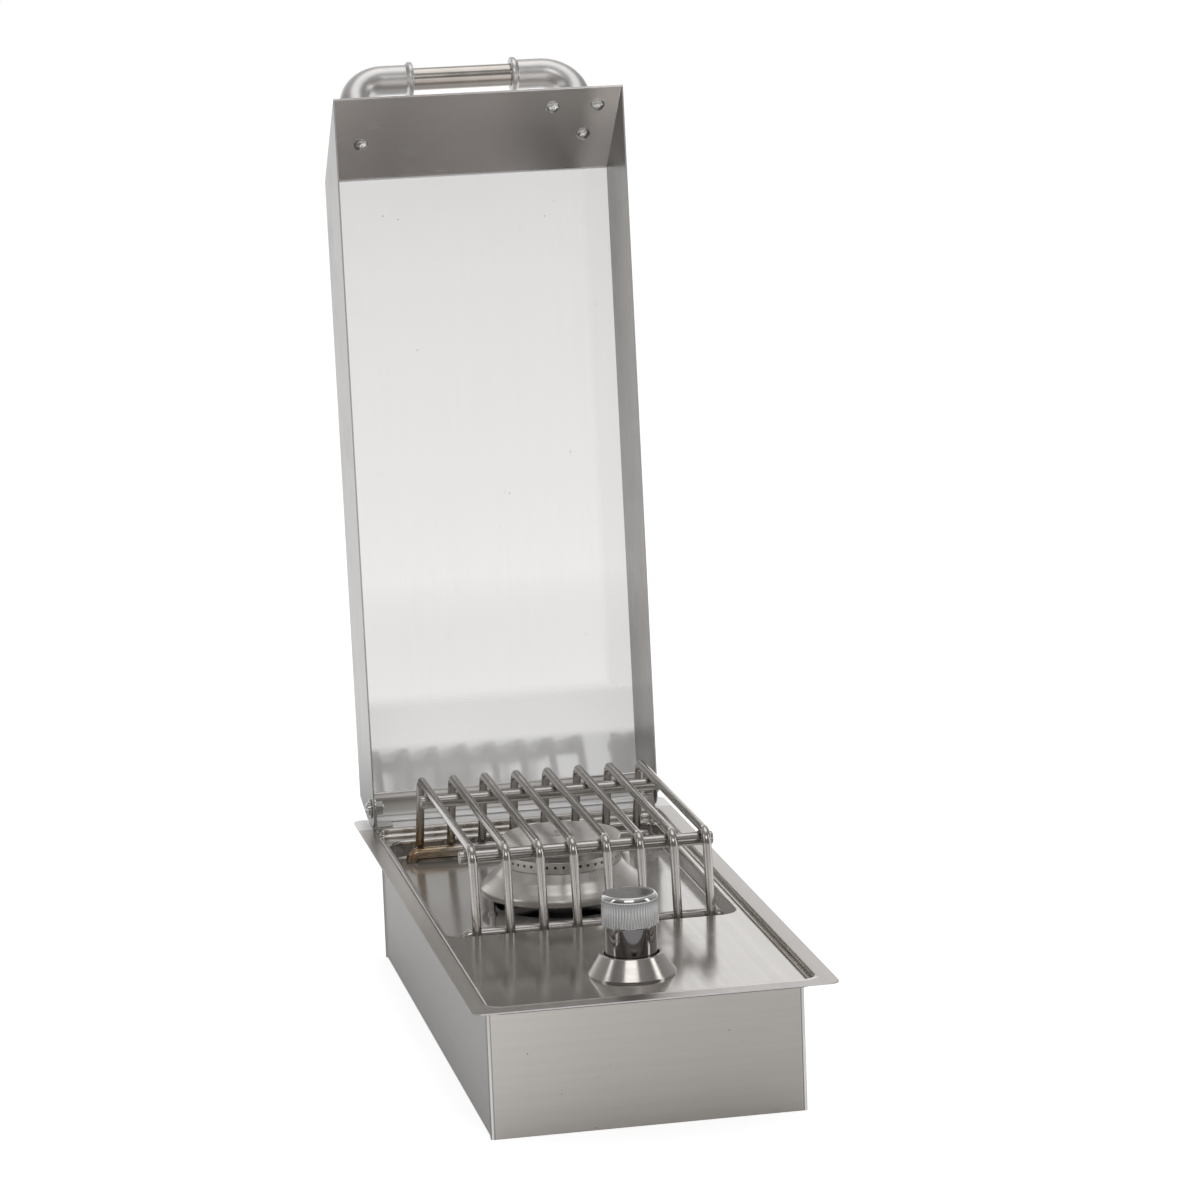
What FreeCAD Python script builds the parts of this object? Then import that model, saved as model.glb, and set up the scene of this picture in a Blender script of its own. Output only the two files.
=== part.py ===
"""Built in side burner for an outdoor kitchen, in millimetres, +Z up.

The origin is the middle of the housing's bottom face. X runs to the right, Y to the back, where
the lid is hinged, and Z up. The lid is modelled open, as it stands when it rests on the flange.
"""
import FreeCAD
import Part
import Sketcher
import math
import os

V = FreeCAD.Vector
DOC = FreeCAD.newDocument("side_burner")
SHEET = DOC.addObject("Spreadsheet::Sheet", "Sizes")


class Size:
    """A length, angle or count with the formula that the document recomputes it from."""

    def __init__(self, value, formula):
        self.value = float(value)
        self.formula = formula

    def __add__(self, other):
        other = as_size(other)
        return Size(self.value + other.value, f"({self.formula} + {other.formula})")

    def __sub__(self, other):
        other = as_size(other)
        return Size(self.value - other.value, f"({self.formula} - {other.formula})")

    def __mul__(self, other):
        other = as_size(other)
        return Size(self.value * other.value, f"({self.formula} * {other.formula})")

    def __truediv__(self, other):
        other = as_size(other)
        return Size(self.value / other.value, f"({self.formula} / {other.formula})")

    def __neg__(self):
        return Size(-self.value, f"(0 - {self.formula})")

    __radd__ = __add__
    __rmul__ = __mul__

    def __rsub__(self, other):
        return as_size(other) - self


def as_size(number):
    """A plain number as a Size, so that it can stand in a formula."""
    return number if isinstance(number, Size) else Size(number, repr(number))


def cosine(angle):
    """Cosine of a Size in degrees."""
    return Size(math.cos(math.radians(angle.value)), f"cos({angle.formula} * 1 deg)")


def sine(angle):
    """Sine of a Size in degrees."""
    return Size(math.sin(math.radians(angle.value)), f"sin({angle.formula} * 1 deg)")


def tangent(angle):
    """Tangent of a Size in degrees."""
    return Size(math.tan(math.radians(angle.value)), f"tan({angle.formula} * 1 deg)")


ROWS = []


def size(alias, value, note):
    """Write one driving dimension into the sheet and return it."""
    ROWS.append(alias)
    row = len(ROWS)
    SHEET.set(f"A{row}", note)
    SHEET.set(f"B{row}", str(value))
    SHEET.setAlias(f"B{row}", alias)
    return Size(value, f"Sizes.{alias}")


# Driving dimensions: the pressed top pan

flange_width = size("flange_width", 267, "flange, left to right")
flange_length = size("flange_length", 620, "flange, front to back")
flange_corner = size("flange_corner", 8, "radius of the flange's corners")
pan_sheet = size("pan_sheet", 1.0, "sheet of the top pan")
pan_bend = size("pan_bend", 1.5, "inside radius of the pan's bends")
flange_side = size("flange_side", 14, "flange from its side edge to the recess")
flange_front = size("flange_front", 18, "flange from its front edge to the recess")
flange_rear = size("flange_rear", 39, "flange from its rear edge to the recess")
recess_depth = size("recess_depth", 6, "deck below the flange")
recess_corner = size("recess_corner", 11, "radius of the recess's corners")
well_side = size("well_side", 7, "well's side inside the recess's side")
well_front = size("well_front", 237, "well's front wall, behind the flange's front edge")
well_rear = size("well_rear", 61, "well's rear wall, before the flange's rear edge")
well_depth = size("well_depth", 14, "well's floor below the deck")
well_corner = size("well_corner", 15, "radius of the well's corners")
burner_hole_radius = size("burner_hole_radius", 54, "hole in the well's floor under the burner")
knob_hole_radius = size("knob_hole_radius", 13, "hole in the deck for the valve's stem")

# Driving dimensions: the housing under the pan

housing_inset = size("housing_inset", 2.5, "housing's side inside the recess's side")
housing_length = size("housing_length", 528, "housing, front to back")
housing_height = size("housing_height", 100.3, "housing, bottom face to the deck's underside")
housing_sheet = size("housing_sheet", 1.0, "sheet of the housing")
housing_lip = size("housing_lip", 5, "lip that the front and back fold over the sides")
housing_tab = size("housing_tab", 10, "tab that a side folds inwards")
vent_length = size("vent_length", 60, "vent slot in the bottom panel")
vent_width = size("vent_width", 7, "width of a vent slot")
vent_pitch = size("vent_pitch", 16, "vent slots, centre to centre")

# Driving dimensions: burner

burner_back = size("burner_back", 372, "burner's axis, behind the flange's front edge")
bowl_radius = size("bowl_radius", 65.5, "outer radius of the burner's bowl")
bowl_sheet = size("bowl_sheet", 1.2, "sheet of the bowl")
bowl_height = size("bowl_height", 22, "bowl from its rim to the port ring")
bowl_rim_drop = size("bowl_rim_drop", 9, "bowl's rim below the flange's top")
bowl_flare = size("bowl_flare", 6.5, "bowl's flare under the port ring, out and down")
knee_in = size("knee_in", 4, "bowl's knee inside its rim")
knee_drop = size("knee_drop", 13.5, "bowl's knee below the port ring")
ring_radius = size("ring_radius", 46.5, "outer radius of the port ring")
ring_wall = size("ring_wall", 4.5, "wall of the port ring")
ring_height = size("ring_height", 9.5, "height of the port ring")
port_radius = size("port_radius", 1.1, "radius of a gas port")
port_count = size("port_count", 44, "gas ports round the ring")
port_drop = size("port_drop", 4.2, "gas ports below the port ring's top")
cap_radius = size("cap_radius", 47.5, "outer radius of the burner's cap")
cap_neck_radius = size("cap_neck_radius", 31, "radius of the neck under the cap")
cap_gap = size("cap_gap", 9, "flame gap between the port ring and the cap's edge")
cap_edge = size("cap_edge", 2.4, "thickness of the cap at its edge")
cap_rise = size("cap_rise", 1.5, "rise of the cap from its edge to its middle")
cap_boss_radius = size("cap_boss_radius", 9, "radius of the boss in the cap's middle")
cap_boss_height = size("cap_boss_height", 1.2, "height of the boss above the cap")
cap_screw_radius = size("cap_screw_radius", 4.4, "head radius of the cap's screw")
peg_radius = size("peg_radius", 2.3, "radius of a stand-off peg")
peg_foot_radius = size("peg_foot_radius", 3.8, "radius of a peg's foot")
peg_foot_height = size("peg_foot_height", 2.0, "height of a peg's foot")
peg_angle = size("peg_angle", 80, "first peg's direction from the burner's axis, degrees")
igniter_edge = size("igniter_edge", 5, "igniter's post outside the burner's hole")
igniter_angle = size("igniter_angle", 19, "igniter's direction from the burner's axis, degrees")
carrier_sheet = size("carrier_sheet", 2.0, "sheet of the carrier under the well")
carrier_arm = size("carrier_arm", 15, "width of a carrier arm")
carrier_reach = size("carrier_reach", 80, "length of a carrier arm from the burner's axis")
throat_radius = size("throat_radius", 13, "outer radius of the burner's throat")
throat_wall = size("throat_wall", 1.6, "wall of the throat and the mixing tube")
tube_drop = size("tube_drop", 52, "mixing tube's axis below the flange's top")
tube_elbow = size("tube_elbow", 15, "radius of the mixing tube's bend")
bell_radius = size("bell_radius", 16, "radius of the bell at the tube's front end")
bell_length = size("bell_length", 20, "length of the bell")
shutter_length = size("shutter_length", 16, "length of the air shutter")
shutter_wall = size("shutter_wall", 0.8, "sheet of the air shutter")
window_width = size("window_width", 10, "air window in the mixing tube and its shutter")
window_margin = size("window_margin", 4, "shutter's rim beside the air window")
fit_gap = size("fit_gap", 0.05, "running clearance between a turning piece and its seat")
ceramic_radius = size("ceramic_radius", 3.0, "radius of the igniter's ceramic post")
wire_radius = size("wire_radius", 0.9, "radius of the igniter's wire")

# Driving dimensions: gas valve, knob and bezel

knob_front = size("knob_front", 95, "knob's axis, behind the flange's front edge")
knob_radius = size("knob_radius", 21, "radius of the knob's grip")
grip_height = size("grip_height", 23.5, "height of the knob's grip")
skirt_radius = size("skirt_radius", 19.3, "radius of the knob's lower sleeve")
skirt_height = size("skirt_height", 25, "height of the knob's lower sleeve")
knob_base = size("knob_base", 6, "underside of the knob above the flange's top")
flute_count = size("flute_count", 48, "flutes round the knob's grip")
flute_radius = size("flute_radius", 0.7, "radius of a flute")
bezel_radius = size("bezel_radius", 32.5, "radius of the bezel's foot")
bezel_top_radius = size("bezel_top_radius", 23.4, "radius of the bezel's top")
bezel_bore = size("bezel_bore", 20.4, "radius of the bezel's bore")
bezel_height = size("bezel_height", 16, "height of the bezel")
stem_radius = size("stem_radius", 4.0, "radius of the valve's stem")
push_travel = size("push_travel", 3.0, "travel of the knob when it is pushed")
valve_width = size("valve_width", 24, "valve body, left to right")
valve_length = size("valve_length", 34, "valve body, front to back")
valve_height = size("valve_height", 30, "valve body, bottom to shoulder")
valve_neck_radius = size("valve_neck_radius", 10, "radius of the valve's neck")
valve_drop = size("valve_drop", 20, "valve's shoulder below the deck's underside")
bracket_sheet = size("bracket_sheet", 2.0, "sheet of the valve's bracket")
spud_radius = size("spud_radius", 4.5, "radius of the orifice spud")
spud_length = size("spud_length", 15, "length of the orifice spud")
spud_entry = size("spud_entry", 3, "orifice spud inside the bell's mouth")
pipe_radius = size("pipe_radius", 4.8, "outer radius of the gas pipe")
pipe_side = size("pipe_side", 62, "gas pipe's long run, right of the middle")
pipe_bend = size("pipe_bend", 18, "radius of the gas pipe's bend")
fitting_hex = size("fitting_hex", 19, "inlet fitting, across its flats")
fitting_thread = size("fitting_thread", 7.9, "radius of the inlet fitting's outer thread")
fitting_depth = size("fitting_depth", 9, "inlet fitting's hexagon inside the back panel")
panel_thread = size("panel_thread", 8.5, "radius of the fitting's thread through the panel")
nut_hex = size("nut_hex", 24, "inlet lock nut, across its flats")
nut_thick = size("nut_thick", 6, "inlet lock nut's thickness")
fitting_reach = size("fitting_reach", 16, "inlet thread behind the back panel's nut")
bracket_leg = size("bracket_leg", 30, "valve bracket's legs, from the middle")
bracket_wide = size("bracket_wide", 22, "width of the valve's bracket")
valve_screw_x = size("valve_screw_x", 18, "valve's fixing screws from its axis")
hub_radius = size("hub_radius", 8, "radius of the knob's hub")
flat_depth = size("flat_depth", 1.2, "flat along the valve's stem")

# Driving dimensions: grate

rod_radius = size("rod_radius", 3.5, "radius of a grate rod")
rod_pitch = size("rod_pitch", 26.2, "grate rods, centre to centre")
rod_count = size("rod_count", 8, "grate rods")
rod_bend = size("rod_bend", 11, "radius of a rod's bends")
bar_radius = size("bar_radius", 5.2, "radius of a cross bar")
grate_top = size("grate_top", 52.5, "rods' axis above the flange's top")
grate_offset = size("grate_offset", 4, "loose grate, right of the middle of the well")
grate_front = size("grate_front", 258, "rods' front feet, behind the flange's front edge")
grate_rear = size("grate_rear", 551, "rods' rear feet, behind the flange's front edge")
grate_front_rake = size("grate_front_rake", 9, "how far the front legs lean back")
grate_rear_rake = size("grate_rear_rake", 27, "how far the rear legs lean forward")
bar_low = size("bar_low", 6.2, "lower bars' axis above their feet")
leg_past = size("leg_past", 2.7, "rod's end below the lower bar's axis")
foot_bend = size("foot_bend", 5.8, "radius of a foot's bend")
bar_over = size("bar_over", 8, "bar past the outermost rod's axis")
top_bar_front = size("top_bar_front", 16, "front upper bar behind the front bend")
top_bar_rear = size("top_bar_rear", 44, "rear upper bar before the rear bend")
floor_gap = size("floor_gap", 0.3, "grate's feet above the well's floor")

# Driving dimensions: lid, hinge and handle

hinge_rear = size("hinge_rear", 28.5, "hinge axis before the flange's rear edge")
hinge_height = size("hinge_height", 15.9, "hinge axis above the flange's top")
lid_lean = size("lid_lean", 3.65, "lean of the open lid past upright, degrees")
lid_inset = size("lid_inset", 12.5, "lid's side inside the flange's side edge")
lid_length = size("lid_length", 591, "lid from the hinge axis to its free edge")
lid_sheet = size("lid_sheet", 1.2, "sheet of the lid")
lid_back = size("lid_back", 69.2, "lid's top panel from the hinge axis")
lid_gap = size("lid_gap", 0.8, "lid's rim above the flange")
lid_foot = size("lid_foot", 28, "straight rest of the lid's side behind the hinge axis")
front_angle = size("front_angle", 50.9, "slope of the lid's front panel to its top panel, degrees")
rear_hem = size("rear_hem", 14, "hem along the lid's rear rest")
lid_bend = size("lid_bend", 1.8, "inside radius of the lid's bends")
bolt_radius = size("bolt_radius", 3.0, "radius of a hinge bolt")
washer_radius = size("washer_radius", 8.0, "radius of a hinge washer")
washer_thickness = size("washer_thickness", 1.2, "thickness of a hinge washer")
nut_flats = size("nut_flats", 10, "hinge nut, across its flats")
nut_height = size("nut_height", 6, "height of a hinge nut")
ear_sheet = size("ear_sheet", 1.8, "sheet of a hinge bracket")
ear_length = size("ear_length", 20, "hinge ear, front to back")
ear_height = size("ear_height", 26, "hinge ear above the flange")
ear_foot = size("ear_foot", 14, "foot of a hinge bracket, inwards")
side_gap = size("side_gap", 0.3, "side play of the lid on its hinge")
handle_side = size("handle_side", 27, "handle's legs inside the lid's side")
handle_reach = size("handle_reach", 66, "handle tube's axis from the lid's front panel")
handle_slope = size("handle_slope", 48, "handle's legs down the front panel from its upper bend")
elbow_radius = size("elbow_radius", 12.5, "radius of a handle elbow")
elbow_bend = size("elbow_bend", 27, "radius of an elbow's axis")
elbow_arm = size("elbow_arm", 52, "elbow from its leg's axis to its inner end")
collar_radius = size("collar_radius", 14.8, "radius of an elbow's collar")
collar_width = size("collar_width", 4.5, "width of an elbow's collar")
tube_outer = size("tube_outer", 9.5, "radius of the handle's tube")
tube_wall = size("tube_wall", 1.2, "wall of the handle's tube")
tube_socket = size("tube_socket", 14, "depth of the tube in an elbow")
screw_radius = size("screw_radius", 2.5, "shank radius of a lid screw")
screw_head = size("screw_head", 5.8, "head radius of a lid screw")
screw_head_height = size("screw_head_height", 4.6, "head height of a lid screw")
screw_dome = size("screw_dome", 3.6, "radius that domes a lid screw's head")
stud_side = size("stud_side", 19, "outer stud inside the lid's side")
stud_pitch = size("stud_pitch", 38, "studs, centre to centre")
stud_slope = size("stud_slope", 85, "studs down the front panel from its upper bend")
screw_reach = size("screw_reach", 14, "handle screw beyond the panel, into its elbow")
screw_bottom = size("screw_bottom", 2, "elbow's bore beyond the handle screw's end")

# Places worked out from the driving dimensions

flange_top = housing_height + pan_sheet + recess_depth
deck_top = housing_height + pan_sheet
well_floor = deck_top - well_depth
well_under = well_floor - pan_sheet
front_edge = -(flange_length / 2)
rear_edge = flange_length / 2
recess_x = flange_width / 2 - flange_side
recess_front = front_edge + flange_front
recess_rear = rear_edge - flange_rear
well_x = recess_x - well_side
well_front_y = front_edge + well_front
well_rear_y = rear_edge - well_rear
burner_y = front_edge + burner_back
knob_y = front_edge + knob_front
hinge_y = rear_edge - hinge_rear
hinge_z = flange_top + hinge_height
housing_x = recess_x - housing_inset
housing_y = housing_length / 2
rim_drop = hinge_height - lid_gap
lid_x = flange_width / 2 - lid_inset
handle_half = lid_x - handle_side
elbow_end = handle_half - elbow_arm
stud_outer = lid_x - stud_side
stud_inner = stud_outer - stud_pitch
peg_circle = bowl_radius - bowl_sheet
igniter_circle = burner_hole_radius + igniter_edge
igniter_x = igniter_circle * cosine(igniter_angle)
igniter_y = igniter_circle * sine(igniter_angle)
tube_length = burner_y - knob_y - valve_length / 2 - spud_length + spud_entry - bell_length


class SubPart:
    """One separate piece: a body with its own label, placed in the object's frame."""

    def __init__(self, label, x=0, y=0, z=0, tilt=None):
        self.label = label
        self.body = DOC.addObject("PartDesign::Body", label)
        self.body.Label = label
        self.body.AllowCompound = True
        self.made = 0
        base = [as_size(x), as_size(y), as_size(z)]
        turn = FreeCAD.Rotation()
        if tilt is not None:
            turn = FreeCAD.Rotation(V(-1, 0, 0), tilt.value)
        self.body.Placement = FreeCAD.Placement(V(*[part.value for part in base]), turn)
        for axis, place in zip("xyz", base):
            self.body.setExpression(f"Placement.Base.{axis}", place.formula)
        if tilt is not None:
            self.body.setExpression("Placement.Rotation.Angle", tilt.formula)

    def name(self, kind):
        """A new name for a feature of this piece."""
        self.made += 1
        return f"{self.label}_{kind}{self.made}"

    def origin(self, role):
        """One of the body's own origin planes or axes."""
        return next(item for item in self.body.Origin.OriginFeatures if item.Role == role)

    def sketch(self, plane="XY", offset=0):
        """An empty sketch on an origin plane, moved along the plane's normal."""
        sketch = self.body.newObject("Sketcher::SketchObject", self.name("sketch"))
        sketch.AttachmentSupport = [(self.origin(f"{plane}_Plane"), "")]
        sketch.MapMode = "FlatFace"
        offset = as_size(offset)
        sketch.AttachmentOffset = FreeCAD.Placement(V(0, 0, offset.value), FreeCAD.Rotation())
        sketch.setExpression("AttachmentOffset.Base.z", offset.formula)
        return sketch

    def feature(self, kind, sketch, length, reverse, short):
        feature = self.body.newObject(f"PartDesign::{kind}", self.name(short))
        feature.Profile = sketch
        feature.Length = as_size(length).value
        feature.setExpression("Length", as_size(length).formula)
        feature.Reversed = reverse
        sketch.Visibility = False
        DOC.recompute()
        return feature

    def pad(self, sketch, length, reverse=False):
        """Raise a sketch along its normal."""
        return self.feature("Pad", sketch, length, reverse, "pad")

    def pocket(self, sketch, length, reverse=False):
        """Cut a sketch against its normal and make sure that it took material away."""
        before = self.body.Shape.Volume
        feature = self.feature("Pocket", sketch, length, reverse, "pocket")
        if not self.body.Shape.Volume < before:
            raise ValueError(f"{feature.Name} cuts nothing")
        return feature

    def revolve(self, sketch, axis="V_Axis"):
        """Turn a sketch about one of its own axes."""
        feature = self.body.newObject("PartDesign::Revolution", self.name("turned"))
        feature.Profile = sketch
        feature.ReferenceAxis = (sketch, [axis])
        feature.Angle = 360
        DOC.recompute()
        return feature

    def groove(self, sketch, axis="V_Axis"):
        """Cut a sketch turned about one of its own axes."""
        before = self.body.Shape.Volume
        feature = self.body.newObject("PartDesign::Groove", self.name("groove"))
        feature.Profile = sketch
        feature.ReferenceAxis = (sketch, [axis])
        feature.Angle = 360
        DOC.recompute()
        if not self.body.Shape.Volume < before:
            raise ValueError(f"{feature.Name} cuts nothing")
        return feature

    def pipe(self, path, radius, bore=None):
        """Sweep a circle, or a ring when a bore is given, along a path sketch."""
        section = self.body.newObject("Sketcher::SketchObject", self.name("section"))
        section.AttachmentSupport = [(path, "Edge1")]
        section.MapMode = "NormalToEdge"
        section.MapPathParameter = 0.0
        circle(section, 0, 0, radius)
        if bore is not None:
            circle(section, 0, 0, bore)
        DOC.recompute()
        feature = self.body.newObject("PartDesign::AdditivePipe", self.name("pipe"))
        feature.Profile = section
        feature.Spine = path
        DOC.recompute()
        return feature

    def polar(self, feature, count, angle=360):
        """Repeat a feature round the body's Z axis."""
        pattern = self.body.newObject("PartDesign::PolarPattern", self.name("polar"))
        pattern.Originals = [feature]
        pattern.Axis = (self.origin("Z_Axis"), "")
        pattern.Angle = angle
        pattern.Occurrences = int(round(as_size(count).value))
        pattern.setExpression("Occurrences", as_size(count).formula)
        self.body.Tip = pattern
        DOC.recompute()
        return pattern

    def linear(self, feature, axis, length, count):
        """Repeat a feature along one of the body's axes."""
        pattern = self.body.newObject("PartDesign::LinearPattern", self.name("row"))
        pattern.Originals = [feature]
        pattern.Direction = (self.origin(f"{axis}_Axis"), "")
        pattern.Length = as_size(length).value
        pattern.setExpression("Length", as_size(length).formula)
        pattern.Occurrences = int(round(as_size(count).value))
        pattern.setExpression("Occurrences", as_size(count).formula)
        self.body.Tip = pattern
        DOC.recompute()
        return pattern

    def mirror(self, features, plane="YZ"):
        """Repeat features on the other side of one of the body's planes."""
        pattern = self.body.newObject("PartDesign::Mirrored", self.name("mirror"))
        pattern.Originals = features
        pattern.MirrorPlane = (self.origin(f"{plane}_Plane"), "")
        self.body.Tip = pattern
        DOC.recompute()
        return pattern

    def edges(self, test):
        """Names of the edges of the piece, as it is now, that pass a test."""
        found = []
        for index, edge in enumerate(self.body.Tip.Shape.Edges):
            if test(edge.BoundBox):
                found.append(f"Edge{index + 1}")
        if not found:
            raise ValueError(f"{self.label} has no such edge")
        return found

    def soften(self, test, radius, kind="Fillet"):
        """Round, or chamfer, the edges that pass a test."""
        names = self.edges(test)
        base = self.body.Tip
        feature = self.body.newObject(f"PartDesign::{kind}", self.name("edge"))
        feature.Base = (base, names)
        word = "Radius" if kind == "Fillet" else "Size"
        setattr(feature, word, as_size(radius).value)
        feature.setExpression(word, as_size(radius).formula)
        DOC.recompute()
        return feature


def root(number):
    """Square root of a Size."""
    return Size(math.sqrt(number.value), f"sqrt({number.formula})")


class Rules:
    """Constraints gathered for one sketch, with the formulas of their values."""

    def __init__(self, sketch):
        self.sketch = sketch
        self.rules = []
        self.formulas = []

    def add(self, *arguments, value=None):
        if value is not None:
            arguments = arguments + (value.value,)
            if "Sizes." in value.formula:
                self.formulas.append((len(self.rules), value.formula))
        self.rules.append(Sketcher.Constraint(*arguments))

    def pin(self, shape, point, x, y):
        """Hold a point of the sketch at a place."""
        if x.formula == "0" and y.formula == "0":
            self.add("Coincident", shape, point, -1, 1)
            return
        if x.formula == "0":
            self.add("PointOnObject", shape, point, -2)
        else:
            self.add("DistanceX", -1, 1, shape, point, value=x)
        if y.formula == "0":
            self.add("PointOnObject", shape, point, -1)
        else:
            self.add("DistanceY", -1, 1, shape, point, value=y)

    def apply(self):
        first = self.sketch.ConstraintCount
        self.sketch.addConstraint(self.rules)
        for index, formula in self.formulas:
            self.sketch.setExpression(f"Constraints[{first + index}]", formula)


def circle(sketch, x, y, radius):
    """A circle whose centre and radius are held."""
    x, y, radius = as_size(x), as_size(y), as_size(radius)
    centre = V(x.value, y.value, 0)
    shape = sketch.addGeometry(Part.Circle(centre, V(0, 0, 1), radius.value), False)
    rules = Rules(sketch)
    rules.pin(shape, 3, x, y)
    rules.add("Radius", shape, value=radius)
    rules.apply()


def bend_arc(before, corner, after, radius):
    """The arc that rounds a corner, its ends, and whether it turns to the left."""
    back = (before - corner).normalize()
    ahead = (after - corner).normalize()
    half = back.getAngle(ahead) / 2
    reach = radius / math.tan(half)
    enter = corner + back * reach
    leave = corner + ahead * reach
    centre = corner + (back + ahead).normalize() * (radius / math.sin(half))
    left = ahead.cross(back).z > 0
    first, last = (enter, leave) if left else (leave, enter)
    start = math.atan2(first.y - centre.y, first.x - centre.x)
    stop = math.atan2(last.y - centre.y, last.x - centre.x)
    if stop < start:
        stop += 2 * math.pi
    arc = Part.ArcOfCircle(Part.Circle(centre, V(0, 0, 1), radius), start, stop)
    return arc, enter, leave, left


def outline(sketch, points, radii=None, closed=True):
    """Lines through corner points, with a tangent arc at each corner that has a radius."""
    points = [(as_size(x), as_size(y)) for x, y in points]
    radii = {index: as_size(radius) for index, radius in (radii or {}).items()}
    count = len(points)
    places = [V(x.value, y.value, 0) for x, y in points]
    starts, ends, arcs, lefts = list(places), list(places), {}, {}
    for index, radius in radii.items():
        found = bend_arc(places[index - 1], places[index], places[(index + 1) % count], radius.value)
        arcs[index], ends[index], starts[index], lefts[index] = found
    shapes = []
    line_count = count if closed else count - 1
    for index in range(line_count):
        shapes.append(Part.LineSegment(starts[index], ends[(index + 1) % count]))
    arc_of, corner_of = {}, {}
    first = sketch.GeometryCount
    for index in radii:
        arc_of[index] = first + len(shapes)
        shapes.append(arcs[index])
    sketch.addGeometry(shapes, False)
    for index in radii:
        corner_of[index] = sketch.addGeometry(Part.Point(places[index]), True)
    rules = Rules(sketch)
    for index, (x, y) in enumerate(points):
        before = first + (index - 1) % count
        after = first + index
        if not closed and index == 0:
            rules.pin(after, 1, x, y)
        elif not closed and index == count - 1:
            rules.pin(before, 2, x, y)
        elif index not in radii:
            rules.add("Coincident", before, 2, after, 1)
            rules.pin(after, 1, x, y)
        else:
            arc, corner = arc_of[index], corner_of[index]
            enter, leave = (1, 2) if lefts[index] else (2, 1)
            rules.pin(corner, 1, x, y)
            rules.add("Tangent", before, 2, arc, enter)
            rules.add("Tangent", arc, leave, after, 1)
            rules.add("Radius", arc, value=radii[index])
            rules.add("PointOnObject", corner, 1, before)
            rules.add("PointOnObject", corner, 1, after)
    rules.apply()


def rectangle(sketch, x0, y0, x1, y1, corner=None):
    """An upright rectangle, with rounded corners where a radius is given."""
    radii = {index: corner for index in range(4)} if corner is not None else None
    outline(sketch, [(x0, y0), (x1, y0), (x1, y1), (x0, y1)], radii)


def hexagon(sketch, x, y, flats):
    """A hexagon with two flats upright, by the size across its flats."""
    reach = flats / math.sqrt(3)
    points = []
    for step in range(6):
        angle = math.radians(30 + 60 * step)
        points.append((x + reach * math.cos(angle), y + reach * math.sin(angle)))
    outline(sketch, points)


def near(value, target, slack=0.02):
    return abs(value - target) < slack


def level(height, x=None, y=None):
    """A test for edges that lie on one level, inside an area given by half width and y range."""
    def test(box):
        if not (near(box.ZMin, height.value) and near(box.ZMax, height.value)):
            return False
        if x is not None and max(abs(box.XMin), abs(box.XMax)) > x.value + 0.05:
            return False
        if x is not None and (box.YMin < y[0].value - 0.05 or box.YMax > y[1].value + 0.05):
            return False
        return True
    return test


def loop(height, x, y0, y1):
    """A test for the edges of one rounded rectangle on one level."""
    inside = level(height, x, (y0, y1))

    def test(box):
        if not inside(box):
            return False
        on_side = near(max(abs(box.XMin), abs(box.XMax)), x.value)
        on_end = near(box.YMin, y0.value) or near(box.YMax, y1.value)
        return on_side or on_end
    return test


DOC.recompute()
PIECES = []


def piece(*arguments, **named):
    """A new separate piece, kept for the checks and the files at the end."""
    made = SubPart(*arguments, **named)
    PIECES.append(made)
    return made


# Top pan: one pressed sheet with a flange, a shallow recess, and the well for the burner

pan = piece("top_pan")
sketch = pan.sketch("XY", flange_top - pan_sheet)
rectangle(sketch, -(flange_width / 2), front_edge, flange_width / 2, rear_edge, flange_corner)
pan.pad(sketch, pan_sheet)

recess_out_x = recess_x + pan_sheet
sketch = pan.sketch("XY", housing_height)
rectangle(sketch, -recess_out_x, recess_front - pan_sheet, recess_out_x, recess_rear + pan_sheet,
          recess_corner + pan_sheet)
pan.pad(sketch, recess_depth)

well_out_x = well_x + pan_sheet
sketch = pan.sketch("XY", well_under)
rectangle(sketch, -well_out_x, well_front_y - pan_sheet, well_out_x, well_rear_y + pan_sheet,
          well_corner + pan_sheet)
pan.pad(sketch, well_depth)

sketch = pan.sketch("XY", flange_top)
rectangle(sketch, -recess_x, recess_front, recess_x, recess_rear, recess_corner)
pan.pocket(sketch, recess_depth)

sketch = pan.sketch("XY", deck_top)
rectangle(sketch, -well_x, well_front_y, well_x, well_rear_y, well_corner)
pan.pocket(sketch, well_depth)

sketch = pan.sketch("XY", well_floor)
circle(sketch, 0, burner_y, burner_hole_radius)
pan.pocket(sketch, pan_sheet * 2)
sketch = pan.sketch("XY", well_floor)
circle(sketch, igniter_x, burner_y + igniter_y, ceramic_radius + 0.4)
pan.pocket(sketch, pan_sheet * 2)

sketch = pan.sketch("XY", deck_top)
circle(sketch, 0, knob_y, knob_hole_radius)
pan.pocket(sketch, pan_sheet * 2)

outer_bend = pan_bend + pan_sheet
pan.soften(loop(flange_top, recess_x, recess_front, recess_rear), outer_bend)
pan.soften(loop(deck_top, recess_x, recess_front, recess_rear), pan_bend)
pan.soften(loop(deck_top, well_x, well_front_y, well_rear_y), outer_bend)
pan.soften(loop(well_floor, well_x, well_front_y, well_rear_y), pan_bend)
pan.soften(loop(flange_top - pan_sheet, recess_out_x, recess_front - pan_sheet,
                recess_rear + pan_sheet), pan_bend)
pan.soften(loop(housing_height, recess_out_x, recess_front - pan_sheet, recess_rear + pan_sheet),
           outer_bend)
pan.soften(loop(housing_height, well_out_x, well_front_y - pan_sheet, well_rear_y + pan_sheet),
           pan_bend)
pan.soften(loop(well_under, well_out_x, well_front_y - pan_sheet, well_rear_y + pan_sheet),
           outer_bend)


# Housing: five sheet panels, spot-welded at the corners

side_outer = housing_x - housing_sheet
side_inner = side_outer - housing_sheet
end_inner = housing_y - housing_sheet
inlet_z = flange_top - tube_drop
sheet_corner = 1.2

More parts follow.
